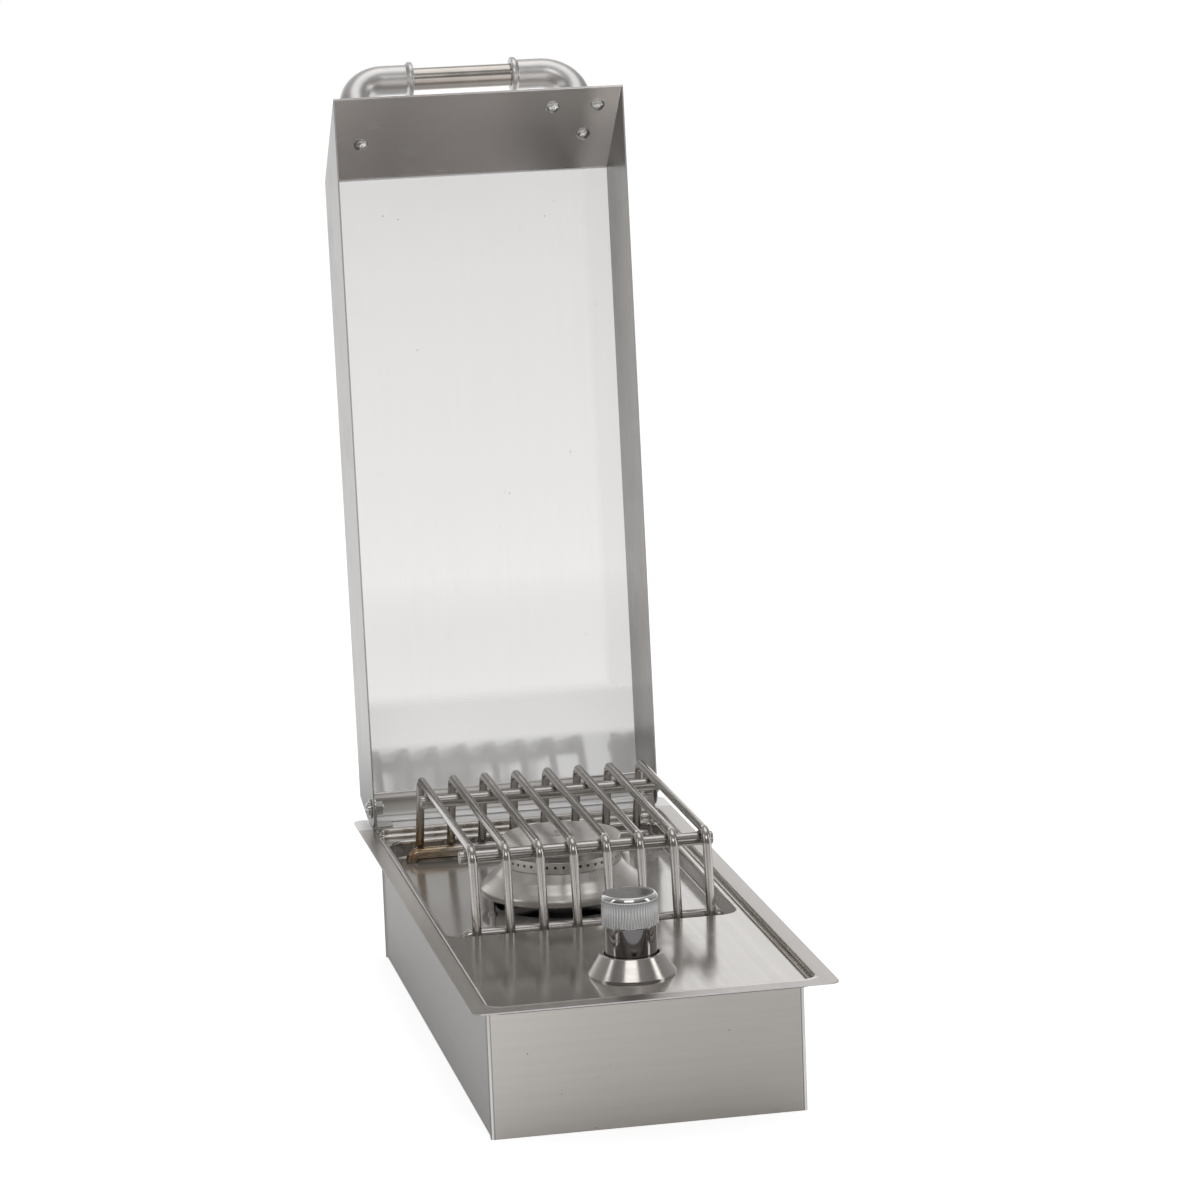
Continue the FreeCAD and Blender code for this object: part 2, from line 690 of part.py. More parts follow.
bottom = piece("housing_bottom")
sketch = bottom.sketch("XY")
rectangle(sketch, -side_inner, -end_inner, side_inner, end_inner)
bottom.pad(sketch, housing_sheet)
sketch = bottom.sketch("XY", housing_sheet)
vent_start = burner_y - vent_pitch * 4
rectangle(sketch, -(vent_length / 2), vent_start, vent_length / 2, vent_start + vent_width,
          vent_width * 0.49)
vent = bottom.pocket(sketch, housing_sheet * 2)
bottom.linear(vent, "Y", vent_pitch * 7, 8)


def end_panel(label, way):
    """Front (way -1) or back (way 1) panel, with lips folded over the side panels."""
    panel = piece(label)
    outer, inner = housing_y * way, end_inner * way
    lip = (housing_y - housing_lip) * way
    corners = [(-housing_x, outer), (housing_x, outer), (housing_x, lip), (side_outer, lip),
               (side_outer, inner), (-side_outer, inner), (-side_outer, lip), (-housing_x, lip)]
    sketch = panel.sketch("XY")
    outline(sketch, corners, {0: sheet_corner, 1: sheet_corner})
    panel.pad(sketch, housing_height)
    return panel


front = end_panel("housing_front", -1)
back = end_panel("housing_back", 1)
sketch = back.sketch("XZ", -(end_inner - 5))
circle(sketch, pipe_side, inlet_z, panel_thread + 0.3)
back.pocket(sketch, 10)


def side_panel(label, way):
    """Left (way -1) or right (way 1) panel: a tab along the bottom and one under the deck."""
    panel = piece(label)
    tab_end = (side_inner - housing_tab) * way
    outer, inner = side_outer * way, side_inner * way
    low, high = housing_sheet, housing_sheet * 2
    corners = [(outer, 0), (outer, housing_height), (inner, housing_height), (inner, high),
               (tab_end, high), (tab_end, low), (inner, low), (inner, 0)]
    sketch = panel.sketch("XZ", end_inner)
    outline(sketch, corners)
    panel.pad(sketch, end_inner * 2, reverse=True)
    sketch = panel.sketch("XZ", end_inner - housing_tab)
    tab_low, tab_high = housing_height - housing_sheet, housing_height
    x0, x1 = sorted((tab_end, inner), key=lambda edge: edge.value)
    rectangle(sketch, x0, tab_low, x1, tab_high)
    panel.pad(sketch, end_inner - housing_tab * 2 + well_front_y, reverse=True)
    return panel


left = side_panel("housing_side_left", -1)
right = side_panel("housing_side_right", 1)


# Burner: bowl, port ring, cast body, cap and its screw, all about the burner's axis


def turned(label, profile, x, y, z, radii=None):
    """A piece turned about its own Z axis from half a section."""
    made = piece(label, x, y, z)
    sketch = made.sketch("XZ")
    outline(sketch, profile, radii)
    made.revolve(sketch)
    return made


ring_low = bowl_height - bowl_rim_drop
ring_top = ring_low + ring_height
ring_inner = ring_radius - ring_wall
bowl_in = bowl_radius - bowl_sheet
bowl_knee = bowl_radius - knee_in
bowl_neck = ring_radius + bowl_flare
skin = bowl_sheet * 0.71
bowl_profile = [(ring_radius + 1, ring_low), (bowl_neck, ring_low - bowl_flare),
                (bowl_knee, ring_low - knee_drop), (bowl_radius, ring_low - knee_drop - knee_in),
                (bowl_radius, -bowl_rim_drop), (bowl_in, -bowl_rim_drop),
                (bowl_in, ring_low - knee_drop - knee_in - bowl_sheet * 0.41),
                (bowl_knee - skin, ring_low - knee_drop - skin),
                (bowl_neck - skin, ring_low - bowl_flare - skin),
                (ring_radius + 1 - bowl_sheet * 0.46, ring_low - bowl_sheet),
                (ring_inner, ring_low - bowl_sheet), (ring_inner, ring_low)]
turned("burner_bowl", bowl_profile, 0, burner_y, flange_top,
       {1: 14, 2: 8, 3: 3.2, 6: 2, 7: 6.8, 8: 15.2})

head_roof = 2
ring_profile = [(cap_screw_radius * 0.6, ring_top), (ring_radius, ring_top), (ring_radius, ring_low),
                (ring_inner, ring_low), (ring_inner, ring_top - head_roof),
                (cap_screw_radius * 0.6, ring_top - head_roof)]
ring = turned("burner_port_ring", ring_profile, 0, burner_y, flange_top, {1: 0.6, 2: 0.4})
sketch = ring.sketch("XZ", -(ring_radius + 1))
circle(sketch, 0, ring_top - port_drop, port_radius)
port = ring.pocket(sketch, ring_wall + 2, reverse=True)
ring.polar(port, port_count)

throat_bore = throat_radius - throat_wall
spigot = ring_inner - fit_gap
body_top = ring_low - bowl_sheet
shoulder = -(recess_depth + well_depth + pan_sheet)
body_profile = [(spigot - 3, ring_low + 2), (spigot, ring_low + 2), (spigot, body_top),
                (ring_radius - 1, body_top), (ring_radius - 1, body_top - 3), (ring_inner, body_top - 4.5),
                (throat_radius + 4, shoulder + 5), (throat_radius + 4, shoulder),
                (throat_radius, shoulder), (throat_radius, shoulder - 9), (throat_bore, shoulder - 9),
                (throat_bore, shoulder + 5), (spigot - 3, body_top - 4)]
turned("burner_body", body_profile, 0, burner_y, flange_top, {5: 2, 6: 3})

cap_low = ring_top + cap_gap
neck_wall = 2.5
cap_crown = cap_low + cap_edge + cap_rise
cap_top = cap_crown + cap_boss_height
screw_bore = cap_screw_radius * 0.6
cap_profile = [(screw_bore, cap_low), (cap_neck_radius - neck_wall, cap_low),
               (cap_neck_radius - neck_wall, ring_top), (cap_neck_radius, ring_top),
               (cap_neck_radius, cap_low), (cap_radius, cap_low), (cap_radius, cap_low + cap_edge),
               (cap_boss_radius, cap_crown), (cap_boss_radius, cap_top), (screw_bore, cap_top)]
turned("burner_cap", cap_profile, 0, burner_y, flange_top, {5: 0.5, 6: 1.6, 8: 0.5})

screw_shank = screw_bore - fit_gap
screw_tip = ring_top - 5
screw_crown = cap_top + 1.8
slot_long, slot_half = cap_screw_radius * 0.7, 0.5
screw_profile = [(0, screw_tip), (screw_shank, screw_tip), (screw_shank, cap_top),
                 (cap_screw_radius, cap_top), (cap_screw_radius, screw_crown), (0, screw_crown)]
cap_screw = turned("cap_screw", screw_profile, 0, burner_y, flange_top, {4: 1.0})
for half_x, half_y in ((slot_long, slot_half), (slot_half, slot_long)):
    sketch = cap_screw.sketch("XY", screw_crown)
    rectangle(sketch, -half_x, -half_y, half_x, half_y)
    cap_screw.pocket(sketch, 1)

# Pegs that carry the bowl's rim, and the carrier they stand on

peg_x, peg_y = peg_circle * cosine(peg_angle), peg_circle * sine(peg_angle)
peg_low = -(recess_depth + well_depth)
peg_count = 3
pegs = piece("burner_standoffs", 0, burner_y, flange_top)
for radius, height in ((peg_radius, -(bowl_rim_drop + peg_low)), (peg_foot_radius, peg_foot_height)):
    sketch = pegs.sketch("XY", peg_low)
    circle(sketch, peg_x, peg_y, radius)
    peg = pegs.pad(sketch, height)
    pegs.polar(peg, peg_count)

carrier = piece("burner_carrier", 0, burner_y, flange_top)
sketch = carrier.sketch("XY", shoulder - carrier_sheet)
circle(sketch, 0, 0, throat_radius * 2)
carrier.pad(sketch, carrier_sheet)
sketch = carrier.sketch("XY", shoulder - carrier_sheet)
arm_corners = []
for along, across in ((0, -0.5), (1, -0.5), (1, 0.5), (0, 0.5)):
    arm_x = carrier_reach * along * cosine(peg_angle) - carrier_arm * across * sine(peg_angle)
    arm_y = carrier_reach * along * sine(peg_angle) + carrier_arm * across * cosine(peg_angle)
    arm_corners.append((arm_x, arm_y))
outline(sketch, arm_corners, {1: 5, 2: 5})
arm = carrier.pad(sketch, carrier_sheet)
carrier.polar(arm, peg_count)
sketch = carrier.sketch("XY", shoulder)
circle(sketch, 0, 0, throat_radius + fit_gap)
carrier.pocket(sketch, carrier_sheet * 2)
sketch = carrier.sketch("XY", shoulder - carrier_sheet)
lug_corners = []
for along, across in ((0.3, -6), (1.15, -6), (1.15, 6), (0.3, 6)):
    lug_x = igniter_x * along - across * sine(igniter_angle)
    lug_y = igniter_y * along + across * cosine(igniter_angle)
    lug_corners.append((lug_x, lug_y))
outline(sketch, lug_corners, {1: 4, 2: 4})
carrier.pad(sketch, carrier_sheet)

# Igniter: a ceramic post with a wire that reaches over to the ports

post = piece("igniter_post", igniter_x, burner_y + igniter_y, flange_top)
sketch = post.sketch("XZ")
post_top = ring_low - 3
outline(sketch, [(wire_radius + fit_gap, shoulder), (ceramic_radius, shoulder),
                 (ceramic_radius, post_top), (ceramic_radius * 0.6, post_top + 1.5),
                 (wire_radius + fit_gap, post_top + 1.5)])
post.revolve(sketch)
wire = piece("igniter_wire", igniter_x, burner_y + igniter_y, flange_top)
sketch = wire.sketch("XZ")
wire_in = -(igniter_circle - ring_radius - 2.6)
outline(sketch, [(0, shoulder), (0, ring_low + 4.5), (wire_in, ring_low + 6)], {1: 2}, closed=False)
wire.pipe(sketch, wire_radius)

bowl = next(made for made in PIECES if made.label == "burner_bowl")
sketch = bowl.sketch("XY", ring_low + 2)
circle(sketch, igniter_x, igniter_y, ceramic_radius + 1)
bowl.pocket(sketch, bowl_height)

# Mixing tube with its bell and windows, the air shutter and the orifice

mix_outer = throat_bore - fit_gap
mix_bore = mix_outer - throat_wall
tube = piece("venturi_tube", 0, burner_y, inlet_z)
sketch = tube.sketch("YZ")
outline(sketch, [(0, shoulder - 5 + tube_drop), (0, 0), (-tube_length, 0)], {1: tube_elbow},
        closed=False)
tube.pipe(sketch, mix_outer, mix_bore)
sketch = tube.sketch("YZ")
bell_end = -(tube_length + bell_length)
outline(sketch, [(-tube_length, mix_bore), (-tube_length, mix_outer), (bell_end, bell_radius),
                 (bell_end, bell_radius - throat_wall)])
tube.revolve(sketch, "H_Axis")
shutter_rear = -(tube_length - shutter_length - 3)
window = (-(window_width / 2), shutter_rear - shutter_length + window_margin,
          window_width / 2, shutter_rear - window_margin)
sketch = tube.sketch("XY", mix_outer * 2)
rectangle(sketch, *window, 1.5)
tube.pocket(sketch, mix_outer * 4)

shutter = piece("air_shutter", 0, burner_y, inlet_z)
sketch = shutter.sketch("YZ")
shutter_in = mix_outer + fit_gap
shutter_out = shutter_in + shutter_wall
rectangle(sketch, shutter_rear - shutter_length, shutter_in, shutter_rear, shutter_out)
shutter.revolve(sketch, "H_Axis")
sketch = shutter.sketch("XY", mix_outer * 2)
rectangle(sketch, *window, 1.5)
shutter.pocket(sketch, mix_outer * 4)
sketch = shutter.sketch("XZ", -(shutter_rear - shutter_wall * 2))
rectangle(sketch, shutter_out - 0.4, -4, shutter_out + 9, 4, 1.5)
shutter.pad(sketch, shutter_wall * 2)

valve_rear = knob_y + valve_length / 2
spud = piece("orifice_spud", 0, valve_rear, inlet_z)
sketch = spud.sketch("XZ")
hexagon(sketch, 0, 0, spud_radius * 2)
spud.pad(sketch, spud_length * 0.5, reverse=True)
sketch = spud.sketch("YZ")
outline(sketch, [(0, 0), (spud_length, 0), (spud_length, 1.6), (spud_length * 0.5, spud_radius * 0.8),
                 (0, spud_radius * 0.8)])
spud.revolve(sketch, "H_Axis")
sketch = spud.sketch("XZ", -(spud_length + 1))
circle(sketch, 0, 0, 0.5)
spud.pocket(sketch, 6, reverse=True)

# Gas valve with its bracket, screws, stem and the cup that the knob's spring pushes

valve_top = housing_height - valve_drop
bore_stem = stem_radius + fit_gap
cup_radius = valve_neck_radius - 2.4
cup_travel_floor = 16
valve = piece("gas_valve_body", 0, knob_y, valve_top)
sketch = valve.sketch("XY")
rectangle(sketch, -(valve_width / 2), -(valve_length / 2), valve_width / 2, valve_length / 2, 4)
valve.pad(sketch, valve_height, reverse=True)
valve.soften(level(-valve_height), 2)
sketch = valve.sketch("XY")
circle(sketch, 0, 0, valve_neck_radius)
valve.pad(sketch, valve_drop - bracket_sheet)
sketch = valve.sketch("XY", valve_drop - bracket_sheet)
circle(sketch, 0, 0, cup_radius + fit_gap)
valve.pocket(sketch, cup_travel_floor)
inlet_local = inlet_z - valve_top
sketch = valve.sketch("YZ", valve_width / 2 - 1)
circle(sketch, 0, inlet_local, pipe_radius + 2.4)
valve.pad(sketch, 9)
sketch = valve.sketch("YZ", valve_width / 2 + 8)
circle(sketch, 0, inlet_local, pipe_radius + fit_gap)
valve.pocket(sketch, 8)

bracket = piece("valve_bracket", 0, knob_y, valve_top)
sketch = bracket.sketch("XZ", bracket_wide / 2)
foot_out = bracket_leg + 14
leg_in = bracket_leg - bracket_sheet
high, below = valve_drop, valve_drop - bracket_sheet
hat = [(-foot_out, high), (-foot_out, below), (-bracket_leg, below), (-bracket_leg, 0), (bracket_leg, 0),
       (bracket_leg, below), (foot_out, below), (foot_out, high), (leg_in, high),
       (leg_in, bracket_sheet), (-leg_in, bracket_sheet), (-leg_in, high)]
bend_in, bend_out = 0.8, 2.6
outline(sketch, hat, {3: bend_out, 4: bend_out, 8: bend_out, 9: bend_in, 10: bend_in, 11: bend_out})
bracket.pad(sketch, bracket_wide, reverse=True)
sketch = bracket.sketch("XY", bracket_sheet * 2)
circle(sketch, 0, 0, valve_neck_radius + fit_gap)
bracket.pocket(sketch, bracket_sheet * 3)

ears = valve.sketch("XY")
rectangle(ears, -(valve_screw_x + 6), -6, valve_screw_x + 6, 6, 4)
valve.pad(ears, 4, reverse=True)
sketch = valve.sketch("XY", valve_height * 2)
circle(sketch, 0, 0, bore_stem)
valve.pocket(sketch, valve_height * 3 - 8)
for way in (-1, 1):
    sketch = valve.sketch("XY", 1)
    circle(sketch, valve_screw_x * way, 0, screw_radius)
    valve.pocket(sketch, 8)
    sketch = bracket.sketch("XY", bracket_sheet * 2)
    circle(sketch, valve_screw_x * way, 0, screw_radius + 0.2)
    bracket.pocket(sketch, bracket_sheet * 3)

valve_screws = piece("valve_screws", 0, knob_y, valve_top)
for way in (-1, 1):
    sketch = valve_screws.sketch("XY", bracket_sheet)
    circle(sketch, valve_screw_x * way, 0, screw_head * 0.8)
    valve_screws.pad(sketch, 2.6)
    sketch = valve_screws.sketch("XY", bracket_sheet)
    circle(sketch, valve_screw_x * way, 0, screw_radius - fit_gap)
    valve_screws.pad(sketch, bracket_sheet + 6, reverse=True)

stem = piece("valve_stem", 0, knob_y, flange_top)
stem_top = knob_base + skirt_height - 3
stem_foot = valve_top - flange_top - valve_height + 8 + push_travel + 1.5
sketch = stem.sketch("XY", stem_foot)
circle(sketch, 0, 0, stem_radius)
stem.pad(sketch, stem_top - stem_foot)
stem.soften(level(stem_top), 0.6, "Chamfer")
sketch = stem.sketch("XY", stem_top)
rectangle(sketch, -stem_radius * 2, stem_radius - flat_depth, stem_radius * 2, stem_radius * 2)
stem.pocket(sketch, skirt_height - 3)

cup = piece("stem_spring_cup", 0, knob_y, flange_top)
cup_seat = -(recess_depth + pan_sheet + bracket_sheet) - 4
sketch = cup.sketch("XZ")
outline(sketch, [(bore_stem, cup_seat), (cup_radius, cup_seat), (cup_radius, cup_seat + 4),
                 (cup_radius - 1.2, cup_seat + 4), (cup_radius - 1.2, cup_seat + 1.2),
                 (bore_stem, cup_seat + 1.2)])
cup.revolve(sketch)

# Knob: a chrome lower sleeve with the hub, and a fluted grip above it

knob_seat = knob_base + skirt_height
skirt = piece("knob_skirt", 0, knob_y, flange_top)
sketch = skirt.sketch("XZ")
skirt_in = skirt_radius - 1.6
outline(sketch, [(0, knob_seat), (skirt_radius, knob_seat), (skirt_radius, knob_base),
                 (skirt_in, knob_base), (skirt_in, knob_seat - 2), (hub_radius, knob_seat - 2),
                 (hub_radius, knob_base + 1), (0, knob_base + 1)], {1: 0.6, 2: 0.5})
skirt.revolve(sketch)
sketch = skirt.sketch("XY", knob_base + 1)
reach_flat = stem_radius - flat_depth + fit_gap
half_flat = math.sqrt(bore_stem.value ** 2 - reach_flat.value ** 2)
arc_start = math.atan2(reach_flat.value, half_flat)
flat_arc = Part.ArcOfCircle(Part.Circle(V(0, 0, 0), V(0, 0, 1), bore_stem.value),
                            math.pi - arc_start, 2 * math.pi + arc_start)
flat_line = Part.LineSegment(V(half_flat, reach_flat.value, 0), V(-half_flat, reach_flat.value, 0))
sketch.addGeometry([flat_arc, flat_line], False)
flat_rules = Rules(sketch)
flat_rules.add("Coincident", 0, 3, -1, 1)
flat_rules.add("Radius", 0, value=bore_stem)
flat_rules.add("Coincident", 0, 2, 1, 1)
flat_rules.add("Coincident", 1, 2, 0, 1)
flat_rules.add("Horizontal", 1)
flat_rules.add("DistanceY", -1, 1, 1, 1, value=reach_flat)
flat_rules.apply()
skirt.pocket(sketch, stem_top - knob_base - 1 + 0.5, reverse=True)

grip = piece("knob_grip", 0, knob_y, flange_top)
grip_top = knob_seat + grip_height
sketch = grip.sketch("XZ")
outline(sketch, [(0, grip_top), (knob_radius - 1.1, grip_top), (knob_radius, grip_top - 3),
                 (knob_radius, knob_seat), (knob_radius - 3, knob_seat), (knob_radius - 3, grip_top - 4),
                 (0, grip_top - 4)], {1: 0.8, 2: 1.5})
grip.revolve(sketch)
sketch = grip.sketch("XY", grip_top - 3.4)
circle(sketch, knob_radius + 0.15, 0, flute_radius)
flute = grip.pocket(sketch, grip_height)
grip.polar(flute, flute_count)

bezel_low = -recess_depth
bezel_high = bezel_low + bezel_height
turned("knob_bezel", [(bezel_radius, bezel_low), (bezel_radius, bezel_low + 1.4),
                      (bezel_top_radius + 2.2, bezel_high - 3.5), (bezel_top_radius, bezel_high),
                      (bezel_bore, bezel_high), (bezel_bore, bezel_high - 3),
                      (bezel_top_radius, bezel_high - 5), (bezel_radius - 1.8, bezel_low)],
       0, knob_y, flange_top, {1: 0.5, 2: 3, 3: 1.2, 4: 0.6})

# Gas pipe, inlet fitting and lock nut

pipe = piece("gas_inlet_pipe", 0, knob_y, inlet_z)
sketch = pipe.sketch("XY")
pipe_start = valve_width / 2 + 2
pipe_run = end_inner - knob_y - 6
outline(sketch, [(pipe_start, 0), (pipe_side, 0), (pipe_side, pipe_run)], {1: pipe_bend}, closed=False)
pipe.pipe(sketch, pipe_radius, pipe_radius - 1)

fitting = piece("inlet_fitting", pipe_side, end_inner, inlet_z)
sketch = fitting.sketch("XZ")
hexagon(sketch, 0, 0, fitting_hex)
fitting.pad(sketch, fitting_depth)
nut_end = housing_sheet + nut_thick
fitting_end = nut_end + fitting_reach
sketch = fitting.sketch("XZ")
circle(sketch, 0, 0, panel_thread)
fitting.pad(sketch, nut_end, reverse=True)
sketch = fitting.sketch("XZ")
circle(sketch, 0, 0, fitting_thread)
fitting.pad(sketch, fitting_end, reverse=True)
sketch = fitting.sketch("XZ", 10)
circle(sketch, 0, 0, pipe_radius + fit_gap)
fitting.pocket(sketch, 8)
sketch = fitting.sketch("XZ", 10)
circle(sketch, 0, 0, pipe_radius - 1)
fitting.pocket(sketch, fitting_end + 20)
fitting.soften(lambda box: near(box.YMin, fitting_end.value) and near(box.YMax, fitting_end.value)
               and box.XMax > pipe_radius.value, 1.2, "Chamfer")

lock_nut = piece("inlet_lock_nut", pipe_side, housing_y, inlet_z)
sketch = lock_nut.sketch("XZ")
hexagon(sketch, 0, 0, nut_hex)
lock_nut.pad(sketch, nut_thick, reverse=True)
sketch = lock_nut.sketch("XZ", 1)
circle(sketch, 0, 0, panel_thread + fit_gap)
lock_nut.pocket(sketch, nut_thick + 4)

# Grate: bent rods welded to two upper and two lower cross bars, which end in feet

half_rods = rod_pitch * (rod_count - 1) / 2
foot_z = well_floor - flange_top + floor_gap
low_z = foot_z + bar_low
leg_end = low_z - leg_past
front_foot_y = front_edge + grate_front
rear_foot_y = front_edge + grate_rear
front_bend_y = front_foot_y + grate_front_rake
rear_bend_y = rear_foot_y - grate_rear_rake
rods = piece("grate_rods", grate_offset, 0, flange_top)
sketch = rods.sketch("YZ", -half_rods)
outline(sketch, [(front_foot_y, leg_end), (front_bend_y, grate_top), (rear_bend_y, grate_top),
                 (rear_foot_y, leg_end)], {1: rod_bend, 2: rod_bend}, closed=False)
rod = rods.pipe(sketch, rod_radius)
rods.linear(rod, "X", half_rods * 2, rod_count)

bar_end = half_rods + bar_over
bar_top_z = grate_top - rod_radius - bar_radius
top_bars = piece("grate_top_bars", grate_offset, 0, flange_top)
for bar_y in (front_bend_y + top_bar_front, rear_bend_y - top_bar_rear):
    sketch = top_bars.sketch("YZ", -bar_end)
    circle(sketch, bar_y, bar_top_z, bar_radius)
    top_bars.pad(sketch, bar_end * 2)
top_bars.soften(lambda box: near(box.XMin, box.XMax) and near(abs(box.XMin), bar_end.value), 0.8)

leg_height = grate_top - leg_end
front_slope = grate_front_rake / leg_height
rear_slope = grate_rear_rake / leg_height
reach = rod_radius + bar_radius
front_bar_y = front_foot_y + front_slope * leg_past + reach * root(front_slope * front_slope + 1)
rear_bar_y = rear_foot_y - rear_slope * leg_past - reach * root(rear_slope * rear_slope + 1)
low_bars = piece("grate_lower_bars", grate_offset, 0, flange_top)
for bar_y in (front_bar_y, rear_bar_y):
    sketch = low_bars.sketch("XZ", -bar_y)
    outline(sketch, [(-bar_end, foot_z), (-bar_end, low_z), (bar_end, low_z), (bar_end, foot_z)],
            {1: foot_bend, 2: foot_bend}, closed=False)
    low_bars.pipe(sketch, bar_radius)

# Hinge: brackets on the flange, shoulder bolts, washers and nuts

lid_in = lid_x - lid_sheet
ear_outer = lid_in - side_gap
ear_inner = ear_outer - ear_sheet
ear_rear = hinge_y + ear_length * 0.57
ear_front = ear_rear - ear_length
foot_front = recess_rear + outer_bend + 0.2


def hinge_bracket(label, way):
    """Left (way -1) or right (way 1) bracket: an upright ear with a foot turned inwards."""
    bracket = piece(label, 0, 0, flange_top)
    sketch = bracket.sketch("YZ", (ear_inner if way > 0 else -ear_outer))
    outline(sketch, [(ear_front, ear_sheet), (ear_rear, ear_sheet), (ear_rear, ear_height),
                     (ear_front, ear_height)], {2: ear_length * 0.45, 3: ear_length * 0.45})
    bracket.pad(sketch, ear_sheet)
    sketch = bracket.sketch("XY")
    x0, x1 = ear_outer * way, (ear_inner - ear_foot) * way
    if way > 0:
        x0, x1 = x1, x0
    corners = {0: 4, 3: 4} if way > 0 else {1: 4, 2: 4}
    outline(sketch, [(x0, foot_front), (x1, foot_front), (x1, ear_rear), (x0, ear_rear)], corners)
    bracket.pad(sketch, ear_sheet)
    sketch = bracket.sketch("YZ", (ear_outer + 1) * way)
    circle(sketch, hinge_y, hinge_height, bolt_radius + fit_gap)
    bracket.pocket(sketch, ear_sheet + 2, reverse=(way < 0))
    return bracket


hinge_bracket("hinge_bracket_left", -1)
hinge_bracket("hinge_bracket_right", 1)

washer_in = lid_x + side_gap
washer_out = washer_in + washer_thickness
head_height = 3.8
bolts = piece("hinge_bolts", 0, hinge_y, hinge_z)
washers = piece("hinge_washers", 0, hinge_y, hinge_z)
nuts = piece("hinge_nuts", 0, hinge_y, hinge_z)
for way in (-1, 1):
    inner_end = ear_inner - nut_height - 1.5
    sketch = bolts.sketch("XZ")
    outline(sketch, [(inner_end * way, 0), (inner_end * way, bolt_radius), (washer_out * way, bolt_radius),
                     (washer_out * way, bolt_radius * 1.85), ((washer_out + 1.6) * way, bolt_radius * 1.85),
                     ((washer_out + head_height) * way, bolt_radius * 0.95),
                     ((washer_out + head_height) * way, 0)], {4: 0.8, 5: 1.5})
    bolts.revolve(sketch, "H_Axis")
    sketch = washers.sketch("XZ")
    x0, x1 = (washer_in, washer_out) if way > 0 else (-washer_out, -washer_in)
    rectangle(sketch, x0, bolt_radius + fit_gap, x1, washer_radius)
    washers.revolve(sketch, "H_Axis")
    sketch = nuts.sketch("YZ", ear_inner * way)
    hexagon(sketch, 0, 0, nut_flats)
    nuts.pad(sketch, nut_height, reverse=(way > 0))
    sketch = nuts.sketch("YZ", (ear_inner + 1) * way)
    circle(sketch, 0, 0, bolt_radius + fit_gap)
    nuts.pocket(sketch, nut_height + 3, reverse=(way < 0))

# Lid, in its own frame: Y out of its top panel, Z along it, from the hinge axis

tilt_cos, tilt_sin = cosine(lid_lean), sine(lid_lean)
slope_sin, slope_half = sine(front_angle), tangent(front_angle / 2)
front_run = (lid_back + rim_drop) / tangent(front_angle)
crease_z = lid_length - front_run
foot_low = (lid_foot * tilt_sin - rim_drop) / tilt_cos
rear_width = lid_back - lid_foot
rear_slant = root(rear_width * rear_width + foot_low * foot_low)
hem_y = lid_foot - rear_hem
hem_low = (hem_y * tilt_sin - rim_drop) / tilt_cos
hem_high = (hem_y * tilt_sin - rim_drop + lid_sheet) / tilt_cos
panel_in = lid_back - lid_sheet
rear_in_z = lid_sheet * (rear_slant + foot_low) / rear_width
foot_in_y = ((lid_sheet * rear_slant + lid_back * foot_low - (lid_sheet - rim_drop) * rear_width / tilt_cos)
             / (foot_low + tilt_sin * rear_width / tilt_cos))
foot_in_z = (foot_in_y * tilt_sin - rim_drop + lid_sheet) / tilt_cos
crease_in_z = crease_z - lid_sheet * slope_half
front_in_z = lid_length - lid_sheet / slope_sin
lid_bend_out = lid_bend + lid_sheet

lid = piece("lid_panel", 0, hinge_y, hinge_z, lid_lean)
sketch = lid.sketch("YZ", -lid_x)
outline(sketch, [(hem_y, hem_low), (lid_foot, foot_low), (lid_back, 0), (lid_back, crease_z),
                 (-rim_drop, lid_length), (-rim_drop, front_in_z), (panel_in, crease_in_z),
                 (panel_in, rear_in_z), (foot_in_y, foot_in_z), (hem_y, hem_high)],
        {1: lid_bend_out, 2: lid_bend_out, 3: lid_bend_out, 6: lid_bend, 7: lid_bend, 8: lid_bend})
lid.pad(sketch, lid_x * 2)


def lid_side(label, way):
    """Left (way -1) or right (way 1) side of the lid, inside the bent panel."""
    side = piece(label, 0, hinge_y, hinge_z, lid_lean)
    corner_z = -(rim_drop + rim_drop * tilt_sin) / tilt_cos
    sketch = side.sketch("YZ", (lid_in if way > 0 else -lid_x))
    outline(sketch, [(foot_in_y, foot_in_z), (panel_in, rear_in_z), (panel_in, crease_in_z),
                     (-rim_drop, front_in_z), (-rim_drop, corner_z), (hem_y, hem_low),
                     (hem_y, hem_high)],
            {0: lid_bend, 1: lid_bend, 2: lid_bend, 4: rim_drop})
    side.pad(sketch, lid_sheet)
    sketch = side.sketch("YZ", (lid_x + 1) * way)
    circle(sketch, 0, 0, bolt_radius + fit_gap)
    side.pocket(sketch, lid_sheet + 2, reverse=(way < 0))
    return side


lid_side("lid_side_left", -1)
lid_side("lid_side_right", 1)

# Handle, in a frame on the lid's slanted front panel: Z out of the panel, Y up to the crease

panel_tilt = 90 - front_angle + lid_lean
panel_y = hinge_y + lid_back * tilt_cos + crease_z * tilt_sin
panel_z = hinge_z + crease_z * tilt_cos - lid_back * tilt_sin
tube_in = elbow_end + tube_socket


